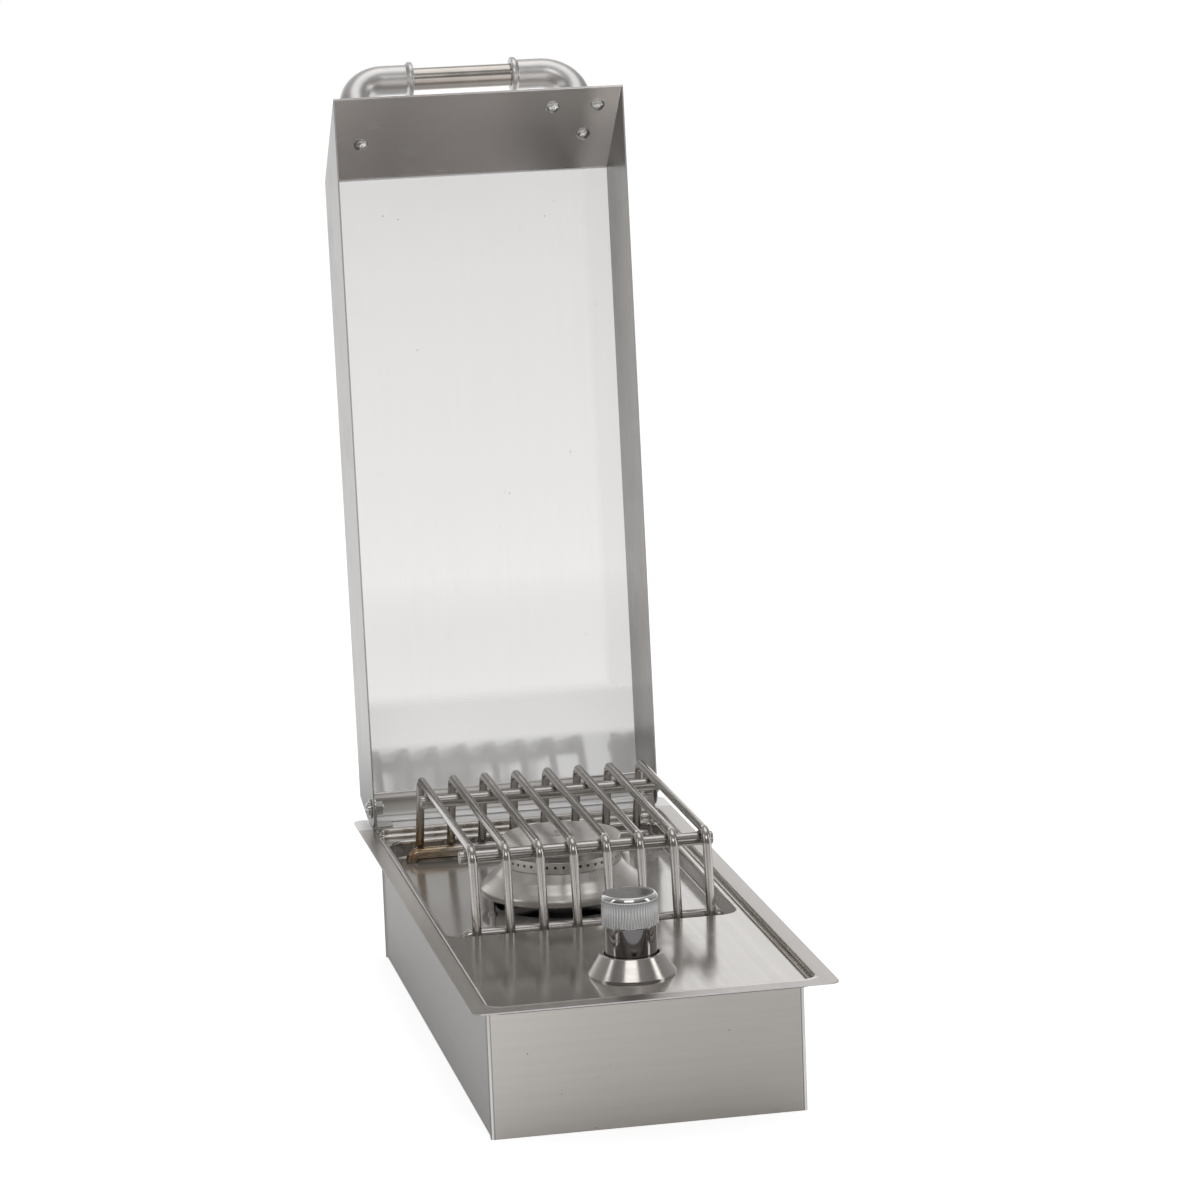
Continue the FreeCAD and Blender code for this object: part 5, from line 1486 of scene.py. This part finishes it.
@dataclass
class Grate:
    """Loose grate: bent rods on two upper and two lower cross bars, welded where they touch.

    Attributes:
        rod_radius: Radius of a rod.
        rod_pitch: Rods, centre to centre.
        rod_count: Number of rods.
        rod_bend: Radius of a rod's bends.
        offset: The grate's middle, right of the object's middle.
        top: Height of the rods' axis.
        leg_end: Height of the rods' ends.
        run: Where the front leg ends, the front and rear bends, and where the rear leg ends.
        bar_radius: Radius of a cross bar.
        bar_over: Bar past the outermost rod's axis.
        top_bars: Upper bars, front and rear.
        top_bar_height: Height of the upper bars' axis.
        low_bars: Lower bars, front and rear.
        low_bar_height: Height of the lower bars' axis.
        foot_height: Height of the lower bars' bent feet.
        foot_bend: Radius of the feet's bends.
        leg_lean: Lean of the front and the rear legs, y over z.
        top_bead: Reach of a weld's bead on an upper bar along each axis.
        low_bead: The same on a lower bar.
        bead_side: A bead's middle, left or right of its rod's axis.
        bead_sink: How far a bead's middle on an upper bar lies under the bar's top.
    """

    rod_radius: float = 3.5
    rod_pitch: float = 26.2
    rod_count: int = 8
    rod_bend: float = 11.0
    offset: float = 4.0
    top: float = 159.8
    leg_end: float = 91.1
    run: tuple[float, float, float, float] = (-52.0, -43.0, 214.0, 241.0)
    bar_radius: float = 5.2
    bar_over: float = 8.0
    top_bars: Point = (-27.0, 170.0)
    top_bar_height: float = 151.1
    low_bars: Point = (-42.87, 230.59)
    low_bar_height: float = 93.8
    foot_height: float = 87.6
    foot_bend: float = 5.8
    leg_lean: Point = (0.131, -0.393)
    top_bead: Triple = (1.7, 3.1, 1.2)
    low_bead: Triple = (1.7, 1.2, 3.1)
    bead_side: float = 2.5
    bead_sink: float = 0.2

    def rod_places(self) -> list[float]:
        """Places of the rods from left to right."""
        half = self.rod_pitch * (self.rod_count - 1) / 2
        return [self.offset - half + self.rod_pitch * index for index in range(self.rod_count)]

    def build(self, materials: Materials) -> None:
        """Make rods, bars and welds.

        Args:
            materials: The materials by finish.
        """
        self.rods(materials[Coat.GRATE])
        self.upper_bars(materials[Coat.GRATE_BAR])
        self.lower_bars(materials[Coat.GRATE_BAR])
        self.welds(materials[Coat.WELD])

    def rods(self, material: bpy.types.Material) -> None:
        """Bend the rods.

        Args:
            material: What they are made of.
        """
        form = Form()
        front, front_bend, rear_bend, rear = self.run
        for x in self.rod_places():
            corners = [Vector((x, front, self.leg_end)), Vector((x, front_bend, self.top)),
                       Vector((x, rear_bend, self.top)), Vector((x, rear, self.leg_end))]
            path = rounded(corners, {1: self.rod_bend, 2: self.rod_bend}, steps=12)
            form.sweep(path, self.rod_radius, sides=28, bevel=0.6)
        place_piece(form.finish("bent_rods", material), "grate", "grate_steel", "grate_rods")

    def ends(self) -> Point:
        """Left and right end of the cross bars."""
        places = self.rod_places()
        return places[0] - self.bar_over, places[-1] + self.bar_over

    def upper_bars(self, material: bpy.types.Material) -> None:
        """Cut the straight upper bars.

        Args:
            material: What they are made of.
        """
        form = Form()
        left, right = self.ends()
        for y in self.top_bars:
            path = [Vector((left, y, self.top_bar_height)), Vector((right, y, self.top_bar_height))]
            form.sweep(path, self.bar_radius, sides=36, bevel=0.9)
        place_piece(form.finish("upper_cross_bars", material), "grate", "grate_steel", "grate_top_bars")

    def lower_bars(self, material: bpy.types.Material) -> None:
        """Bend the lower bars down into their feet.

        Args:
            material: What they are made of.
        """
        form = Form()
        left, right = self.ends()
        for y in self.low_bars:
            corners = [Vector((left, y, self.foot_height)), Vector((left, y, self.low_bar_height)),
                       Vector((right, y, self.low_bar_height)), Vector((right, y, self.foot_height))]
            path = rounded(corners, {1: self.foot_bend, 2: self.foot_bend}, steps=10)
            form.sweep(path, self.bar_radius, sides=36, bevel=0.25)
        place_piece(form.finish("footed_cross_bars", material), "grate", "grate_steel", "grate_lower_bars")

    def welds(self, material: bpy.types.Material) -> None:
        """Lay a bead on each side of every crossing, each with lumps of its own.

        Args:
            material: What they are made of.
        """
        form = Form()
        bar_top = self.top_bar_height + self.bar_radius
        crossings = [(y, bar_top - self.bead_sink, Vector(self.top_bead)) for y in self.top_bars]
        for y, lean, way in zip(self.low_bars, self.leg_lean, (-1.0, 1.0)):
            reach = self.bar_radius / math.hypot(1.0, lean)
            height = self.low_bar_height - lean * way * reach
            crossings.append((y + way * reach, height, Vector(self.low_bead)))
        for number, x in enumerate(self.rod_places()):
            for index, (y, z, radii) in enumerate(crossings):
                for way in (-1.0, 1.0):
                    seed = number * 3.1 + index * 1.7 + way
                    form.bead(Vector((x + way * self.bead_side, y, z)), radii, seed)
        place_piece(form.finish("weld_beads", material, sharp=80.0), "grate", "grate_steel")


@dataclass
class KnobGrip:
    """Fluted grip of the control knob, with a bevelled rim and a shallow dish in its top.

    Attributes:
        axis: Place of the knob's axis.
        radius: Radius over the lands.
        inner: Radius of the bore over the sleeve.
        bore_depth: Depth of the bore.
        low: Height of the grip's lower rim.
        top: Height of the grip's top.
        flutes: Number of flutes.
        flute_steps: Steps round the grip for each flute.
        flute_radius: Radius of the cutter that makes a flute.
        flute_out: The cutter's axis outside the grip's radius.
        flute_low: Height where the flutes start.
        flute_top: Height where the flutes end.
    """

    axis: Point = (0.0, -215.0)
    radius: float = 21.0
    inner: float = 18.2
    bore_depth: float = 19.0
    low: float = 138.3
    top: float = 161.8
    flutes: int = 60
    flute_steps: int = 10
    flute_radius: float = 0.62
    flute_out: float = 0.12
    flute_low: float = 139.4
    flute_top: float = 157.6

    def ripple(self, height: float, angle: float) -> float:
        """Depth of a flute at a height and an angle.

        Args:
            height: Height in millimetres.
            angle: Angle round the axis in radians.

        Returns:
            What is taken off the radius.
        """
        if not self.flute_low < height < self.flute_top:
            return 0.0
        pitch = 2 * math.pi / self.flutes
        across = ((angle / pitch + 0.5) % 1.0 - 0.5) * pitch * self.radius
        if abs(across) >= self.flute_radius:
            return 0.0
        depth = math.sqrt(self.flute_radius ** 2 - across ** 2) - self.flute_out
        return max(depth, 0.0)

    def build(self, materials: Materials) -> None:
        """Turn the grip and cut its flutes.

        Args:
            materials: The materials by finish.
        """
        outer = self.radius
        low, top, roof = self.low, self.top, self.low + self.bore_depth
        rim = [(self.inner, low), (outer - 0.5, low), (outer - 0.1, low + 0.3), (outer, low + 0.7)]
        fluted = [(outer, self.flute_low), (outer, self.flute_low + 0.5), (outer, self.flute_top - 0.9),
                  (outer, self.flute_top - 0.3), (outer, self.flute_top)]
        bevel = [(outer, top - 3.2), (outer - 0.12, top - 2.7), (outer - 1.45, top - 0.6),
                 (outer - 1.9, top - 0.2), (outer - 2.5, top), (outer - 3.1, top)]
        dish = [(outer - 3.8, top - 0.06), (outer - 8.0, top - 0.12), (4.0, top - 0.16), (0.0, top - 0.16)]
        profile = [*rim, *fluted, *bevel, *dish, (0.0, roof), (self.inner, roof)]
        form = Form()
        place = Matrix.Translation((*self.axis, 0.0))
        form.lathe(profile, self.flutes * self.flute_steps, place, self.ripple)
        made = form.finish("fluted_grip", materials[Coat.KNOB], sharp=40.0)
        place_piece(made, "knob", "knob_chrome", "knob_grip")


@dataclass
class LidFront:
    """Handle and domed screws on the lid's slanted front panel.

    The panel's own frame has Z out of the panel, Y up to its bend and X to the right.

    Attributes:
        panel: Place of the panel's bend, y and z.
        tilt: Turn of the panel's frame about the X axis, in degrees.
        sheet: Thickness of the panel.
        half: The handle's legs from the middle.
        slope: The handle's legs down the panel from its bend.
        reach: The tube's axis out of the panel.
        elbow_radius: Radius of an elbow.
        elbow_bend: Radius of an elbow's axis.
        elbow_end: Inner end of an elbow from the middle.
        elbow_in: How far its bent bar stops short of that, inside the collar.
        foot_gap: Gap between an elbow's foot and the panel.
        collar_radius: Radius of an elbow's collar.
        collar_width: Width of the collar.
        tube_radius: Radius of the handle's tube.
        tube_in: End of the tube from the middle.
        tube_wall: Thickness of the tube's wall.
        tube_gap: Gap between the tube and an elbow's bore.
        head_radius: Radius of a screw's flange.
        head_height: Height of a screw's head.
        hex_flats: Screw's hexagon, across its flats.
        dome_rise: Height of the dome on the hexagon.
        dome_in: How far the dome stays inside the flats.
        shank_radius: Radius of a screw's shank.
        screw_reach: Handle screw beyond the panel.
        studs: Places of the two other screws, x and down the panel.
    """

    panel: Point = (383.82, 640.22)
    tilt: float = -42.75
    sheet: float = 1.2
    half: float = 94.0
    slope: float = 48.0
    reach: float = 66.0
    elbow_radius: float = 12.5
    elbow_bend: float = 27.0
    elbow_end: float = 42.0
    elbow_in: float = 1.0
    foot_gap: float = 0.15
    collar_radius: float = 14.8
    collar_width: float = 4.5
    tube_radius: float = 9.5
    tube_in: float = 56.0
    tube_wall: float = 1.2
    tube_gap: float = 0.05
    head_radius: float = 5.8
    head_height: float = 4.6
    hex_flats: float = 8.6
    dome_rise: float = 1.9
    dome_in: float = 0.35
    shank_radius: float = 2.45
    screw_reach: float = 14.0
    studs: tuple[Point, ...] = ((64.0, 85.0), (102.0, 85.0))

    def frame(self) -> Matrix:
        """The panel's frame in the object's."""
        turn = Matrix.Rotation(math.radians(self.tilt), 4, "X")
        return Matrix.Translation((0.0, *self.panel)) @ turn

    def build(self, materials: Materials) -> None:
        """Make both elbows, the tube and the screws.

        Args:
            materials: The materials by finish.
        """
        for side, way in (("left", -1.0), ("right", 1.0)):
            self.elbow(side, way, materials[Coat.ELBOW])
        self.tube(materials[Coat.TUBE])
        grips = ((-self.half, self.slope), (self.half, self.slope))
        steel = materials[Coat.FASTENER]
        self.screws("handle_cap_screws", grips, self.screw_reach, "handle_screws", steel)
        self.screws("panel_cap_screws", self.studs, 0.0, "panel_studs", steel)

    def along_x(self, x: float, way: float) -> Matrix:
        """Frame whose Z runs along the tube's axis from a place on it.

        Args:
            x: The place on the axis.
            way: 1 for Z to the right, -1 for Z to the left.

        Returns:
            The frame in the object's.
        """
        spot = Matrix.Translation((x, -self.slope, self.reach))
        return self.frame() @ spot @ Matrix.Rotation(math.radians(90.0 * way), 4, "Y")

    def elbow(self, side: str, way: float, material: bpy.types.Material) -> None:
        """Cast one elbow with its stepped collar.

        Args:
            side: Name of the side.
            way: -1 for the left elbow, 1 for the right one.
            material: What it is made of.
        """
        form = Form()
        leg, end = self.half * way, (self.elbow_end + self.elbow_in) * way
        corners = [Vector((leg, -self.slope, self.foot_gap)), Vector((leg, -self.slope, self.reach)),
                   Vector((end, -self.slope, self.reach))]
        path = rounded(corners, {1: self.elbow_bend}, steps=22)
        form.sweep(path, self.elbow_radius, sides=48, bevel=0.3, place=self.frame())
        outer, width, neck = self.collar_radius, self.collar_width, self.elbow_radius
        bore = self.tube_radius + self.tube_gap
        profile = [(bore, 0.0), (bore + 0.5, -0.2), (outer - 1.5, -0.2), (outer - 0.5, 0.05), (outer, 0.7),
                   (outer, width - 1.2), (outer - 0.35, width - 0.5), (outer - 1.1, width - 0.1),
                   (neck + 0.9, width + 0.2), (neck + 0.2, width + 1.1), (neck - 0.4, width + 1.4),
                   (bore, width + 1.4)]
        form.lathe(profile, steps=64, place=self.along_x(self.elbow_end * way, way))
        made = form.finish(f"cast_elbow_{side}", material, sharp=38.0)
        place_piece(made, "lid", "handle_chrome", f"handle_elbow_{side}")

    def tube(self, material: bpy.types.Material) -> None:
        """Cut the tube between the elbows.

        Args:
            material: What it is made of.
        """
        form = Form()
        outer, inner, length = self.tube_radius, self.tube_radius - self.tube_wall, self.tube_in * 2
        near = [(inner, 0.3), (inner + 0.3, 0.0), (outer - 0.4, 0.0), (outer, 0.4)]
        rings = [(outer, length * share) for share in (0.25, 0.5, 0.75)]
        far = [(radius, length - height) for radius, height in reversed(near)]
        profile = [*near, *rings, *far]
        form.lathe(profile, steps=72, place=self.along_x(-self.tube_in, 1.0))
        place_piece(form.finish("grip_tube", material), "lid", "handle_chrome", "handle_tube")

    def screws(self, name: str, places: tuple[Point, ...], reach: float, node: str,
               material: bpy.types.Material) -> None:
        """Make a group of cap screws: a flange, a hexagon and a dome inside the lid.

        Args:
            name: The group's name.
            places: Place of each screw, x and down the panel.
            reach: How far the shank goes beyond the panel.
            node: The CAD node that the group stands for.
            material: What they are made of.
        """
        form = Form()
        wide, high, rise, thin = self.head_radius, self.head_height, self.dome_rise, self.shank_radius
        corner = self.hex_flats / 2 / math.cos(math.pi / 6)
        top = self.hex_flats / 2 - self.dome_in
        end = -self.sheet - reach
        turns = [math.pi / 2 * part / 7 for part in range(7)]
        arc = [(top * math.cos(turn), high - rise + rise * math.sin(turn)) for turn in turns]
        flange = [(0.0, 0.0), (wide - 0.3, 0.0), (wide, 0.25), (wide, 0.6), (wide - 0.5, 0.95),
                  (corner * 0.98, 1.1), (0.0, 1.1)]
        hexagon = [(0.0, 0.9), (corner, 0.9), (corner, high - 2.1), (corner - 0.5, high - 1.75),
                   (0.0, high - 1.75)]
        dome = [(0.0, high - 2.4), (top, high - 2.4), *arc, (0.0, high)]
        shank = [(0.0, 0.5), (thin, 0.5), (thin, end + 0.4), (thin - 0.4, end), (0.0, end)]
        turned_in = Matrix.Rotation(math.pi, 4, "X")
        for x, down in places:
            seat = self.frame() @ Matrix.Translation((x, -down, -self.sheet)) @ turned_in
            form.lathe(flange, steps=40, place=seat)
            tightened = Matrix.Rotation(x + 0.3, 4, "Z")
            form.lathe(hexagon, steps=6, place=seat @ tightened)
            form.lathe(dome, steps=32, place=seat)
            form.lathe(shank, steps=24, place=seat)
        place_piece(form.finish(name, material, sharp=30.0), "lid", "fastener_steel", node)


@dataclass(frozen=True)
class Camera:
    """The photograph's camera, solved from the object's corners.

    Attributes:
        place: The camera's centre in millimetres.
        yaw: Turn to the left or right in radians.
        pitch: Turn down in radians.
        roll: Turn about the line of sight in radians.
        focal: Focal length in pixels of the frame.
        frame: Width of the photograph's frame in pixels.
    """

    place: Triple = (-572.8, -3174.0, 933.3)
    yaw: float = -0.1869
    pitch: float = 0.1819
    roll: float = -0.0385
    focal: float = 4260.9
    frame: float = 1200.0

    def build(self) -> None:
        """Make the camera and make it the scene's own."""
        data = bpy.data.cameras.new("photo_camera")
        data.sensor_width = 36.0
        data.lens = self.focal / self.frame * data.sensor_width
        data.clip_start = 0.05
        data.clip_end = 60.0
        camera = add_object("photo_camera", data)
        level = Matrix(((1, 0, 0), (0, 0, -1), (0, 1, 0)))
        yaw = Matrix.Rotation(self.yaw, 3, "Y")
        pitch = Matrix.Rotation(self.pitch, 3, "X")
        roll = Matrix.Rotation(self.roll, 3, "Z")
        right, down, ahead = roll @ pitch @ yaw @ level
        turn = Matrix((right, -down, -ahead)).transposed()
        camera.matrix_world = Matrix.Translation(Vector(self.place) * MM) @ turn.to_4x4()
        bpy.context.scene.camera = camera


@dataclass(frozen=True)
class Lamp:
    """One rectangular soft light.

    Attributes:
        name: The light's name.
        place: Where it stands, in metres.
        aim: The point that it faces, in metres.
        size: Width and height in metres.
        power: Watts.
    """

    name: str
    place: Triple
    aim: Triple
    size: Point
    power: float

    def build(self) -> None:
        """Make the light and turn it to its aim."""
        data = bpy.data.lights.new(self.name, "AREA")
        data.shape = "RECTANGLE"
        data.size, data.size_y = self.size
        data.energy = self.power
        light = add_object(self.name, data)
        light.location = self.place
        light.rotation_mode = "QUATERNION"
        light.rotation_quaternion = (Vector(self.aim) - Vector(self.place)).to_track_quat("-Z", "Y")


# The room in front of the object and behind it, as metal mirrors it from straight below to straight
# above: white to the horizon, then the dim room or a softer light.
ROOM_AHEAD: Stops = (
    (0.0, 1.0), (0.51, 1.0), (0.535, 0.82), (0.56, (0.42, 0.415, 0.41)), (0.59, (0.20, 0.195, 0.188)),
    (0.76, (0.225, 0.22, 0.212)), (0.81, 0.34), (0.88, 0.34), (1.0, 0.30))
ROOM_BEHIND: Stops = ((0.0, 1.0), (0.62, 1.0), (0.76, 0.62), (0.90, 0.50), (1.0, 0.55))


@dataclass
class Studio:
    """White sweep, soft lights and the pale surroundings that the steel reflects.

    Attributes:
        lamps: The soft lights.
        floor_half: Half the floor's side in metres.
        floor_colour: The floor's own colour.
        floor_glow: What makes the floor white to the eye and in metal.
        near: Distance from the object up to which metal shows the floor's own shade, in metres.
        far: Distance from which metal shows it white.
        floor_roughness: The floor's roughness.
        floor_shine: The floor's own reflection.
        room: Strength of the soft light from all round.
        room_colour: Its colour.
        room_turn: Directions between which the room in front changes to the one behind, y.
        side_colour: What metal mirrors to the left and the right.
        side_share: How much of that covers the room's own tones.
        side_turn: Directions between which that grows, x.
    """

    lamps: tuple[Lamp, ...] = (
        Lamp("key_front", (-0.5, -2.3, 2.5), (0.0, 0.0, 0.2), (1.8, 1.0), 11.0),
        Lamp("strip_right", (2.3, -0.9, 1.1), (0.0, 0.0, 0.3), (0.5, 1.8), 7.0),
        Lamp("top_box", (0.3, 0.4, 2.8), (0.0, 0.0, 0.2), (1.8, 1.8), 10.0),
        Lamp("strip_left", (-2.2, -0.2, 1.3), (0.0, 0.0, 0.3), (0.35, 1.6), 3.0),
    )
    floor_half: float = 12.0
    floor_colour: Colour = (0.62, 0.62, 0.62)
    floor_glow: float = 0.65
    near: float = 0.75
    far: float = 1.25
    floor_roughness: float = 0.7
    floor_shine: float = 0.2
    room: float = 0.70
    room_colour: Colour = (0.97, 0.985, 1.0)
    room_turn: Point = (-0.25, 0.15)
    side_colour: Colour = (0.16, 0.157, 0.153)
    side_share: float = 0.62
    side_turn: Point = (0.35, 0.75)

    def build(self) -> None:
        """Make the world, the floor and the lights."""
        self.world()
        self.floor()
        for lamp in self.lamps:
            lamp.build()

    @staticmethod
    def seen(rays: bpy.types.NodeOutputs, graph: Graph) -> Socket:
        """Rays to which the white surroundings show: the eye's, and those off metal or through glass."""
        return graph.most(rays["Is Camera Ray"], rays["Is Glossy Ray"], rays["Is Transmission Ray"])

    @staticmethod
    def mix(graph: Graph, share: Socket, first: bpy.types.Node, second: bpy.types.Node) -> Socket:
        """Mix two shaders by a share, 0 for the first one.

        Args:
            graph: The graph that they are in.
            share: The share of the second one.
            first: The first shader.
            second: The second shader.

        Returns:
            The mixed shader's output socket.
        """
        node = graph.add("ShaderNodeMixShader")
        graph.feed_all(node, share, first.outputs[0], second.outputs[0])
        return node.outputs[0]

    def world(self) -> None:
        """White to the eye, toned as a room to metal, and a soft light to all the rest."""
        world = bpy.data.worlds.new("studio")
        bpy.context.scene.world = world
        world.use_nodes = True
        world.node_tree.nodes.clear()
        graph = Graph(world.node_tree)
        at = graph.split(graph.add("ShaderNodeTexCoord").outputs["Generated"])
        rays = graph.add("ShaderNodeLightPath").outputs
        height = graph.math("ADD", graph.math("MULTIPLY", at.z, 0.5), 0.5)
        back = graph.spread(at.y, *self.room_turn)
        around = graph.blend(back, graph.ramp(height, ROOM_AHEAD), graph.ramp(height, ROOM_BEHIND))
        aside = graph.spread(graph.math("ABSOLUTE", at.x), *self.side_turn, 0.0, self.side_share)
        around = graph.blend(aside, around, self.side_colour)
        seen = graph.add("ShaderNodeBackground", "seen")
        graph.link(graph.blend(rays["Is Camera Ray"], around, 1.0), seen.inputs["Color"])
        soft = graph.add("ShaderNodeBackground", "room")
        graph.feed(soft.inputs["Color"], self.room_colour)
        graph.feed(soft.inputs["Strength"], self.room)
        mixed = self.mix(graph, self.seen(rays, graph), soft, seen)
        graph.link(mixed, graph.add("ShaderNodeOutputWorld").inputs["Surface"])

    def floor(self) -> None:
        """A plain pale floor that runs out of view and keeps the object's shadow."""
        mesh = bpy.data.meshes.new("floor")
        half = self.floor_half
        corners = [(-half, -half, 0), (half, -half, 0), (half, half, 0), (-half, half, 0)]
        mesh.from_pydata(corners, [], [(0, 1, 2, 3)])
        floor = add_object("floor", mesh)
        material = bpy.data.materials.new("pale_floor")
        material.use_nodes = True
        graph = Graph(material.node_tree)
        shader = material.node_tree.nodes["Principled BSDF"]
        graph.feed(shader.inputs["Base Color"], self.floor_colour)
        graph.feed(shader.inputs["Roughness"], self.floor_roughness)
        graph.feed(shader.inputs["Specular IOR Level"], self.floor_shine)
        glow = graph.add("ShaderNodeEmission")
        graph.feed(glow.inputs["Strength"], self.floor_glow)
        bright = graph.add("ShaderNodeAddShader")
        graph.feed_all(bright, shader.outputs[0], glow.outputs[0])
        distance = graph.vector("LENGTH", graph.add("ShaderNodeNewGeometry").outputs["Position"])
        open_floor = graph.spread(distance, self.near, self.far)
        rays = graph.add("ShaderNodeLightPath").outputs
        mirrored = graph.math("MULTIPLY", self.seen(rays, graph), open_floor)
        mixed = self.mix(graph, graph.most(rays["Is Camera Ray"], mirrored), shader, bright)
        graph.link(mixed, material.node_tree.nodes["Material Output"].inputs["Surface"])
        mesh.materials.append(material)


def dress_nodes(nodes: dict[str, bpy.types.Object], materials: Materials) -> None:
    """Give every CAD node its finish.

    Args:
        nodes: The CAD nodes by name.
        materials: The materials by finish.
    """
    for coat, names in COAT_NODES.items():
        for node in (nodes[name] for name in names):
            if not node.material_slots:
                node.data.materials.append(materials[coat])
            for held in node.material_slots:
                held.material = materials[coat]


def main() -> None:
    """Load the frame, dress it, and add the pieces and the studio."""
    logging.basicConfig(level=logging.INFO, format="%(name)s: %(message)s")
    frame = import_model()
    groups = ShaderGroups()
    materials = {coat: finish.build(coat.value, groups) for coat, finish in FINISHES.items()}
    dress_nodes(frame["nodes"], materials)
    Grate().build(materials)
    KnobGrip().build(materials)
    LidFront().build(materials)
    Camera().build()
    Studio().build()
    bpy.context.scene.view_settings.view_transform = "Standard"


if __name__ == "__main__":
    main()
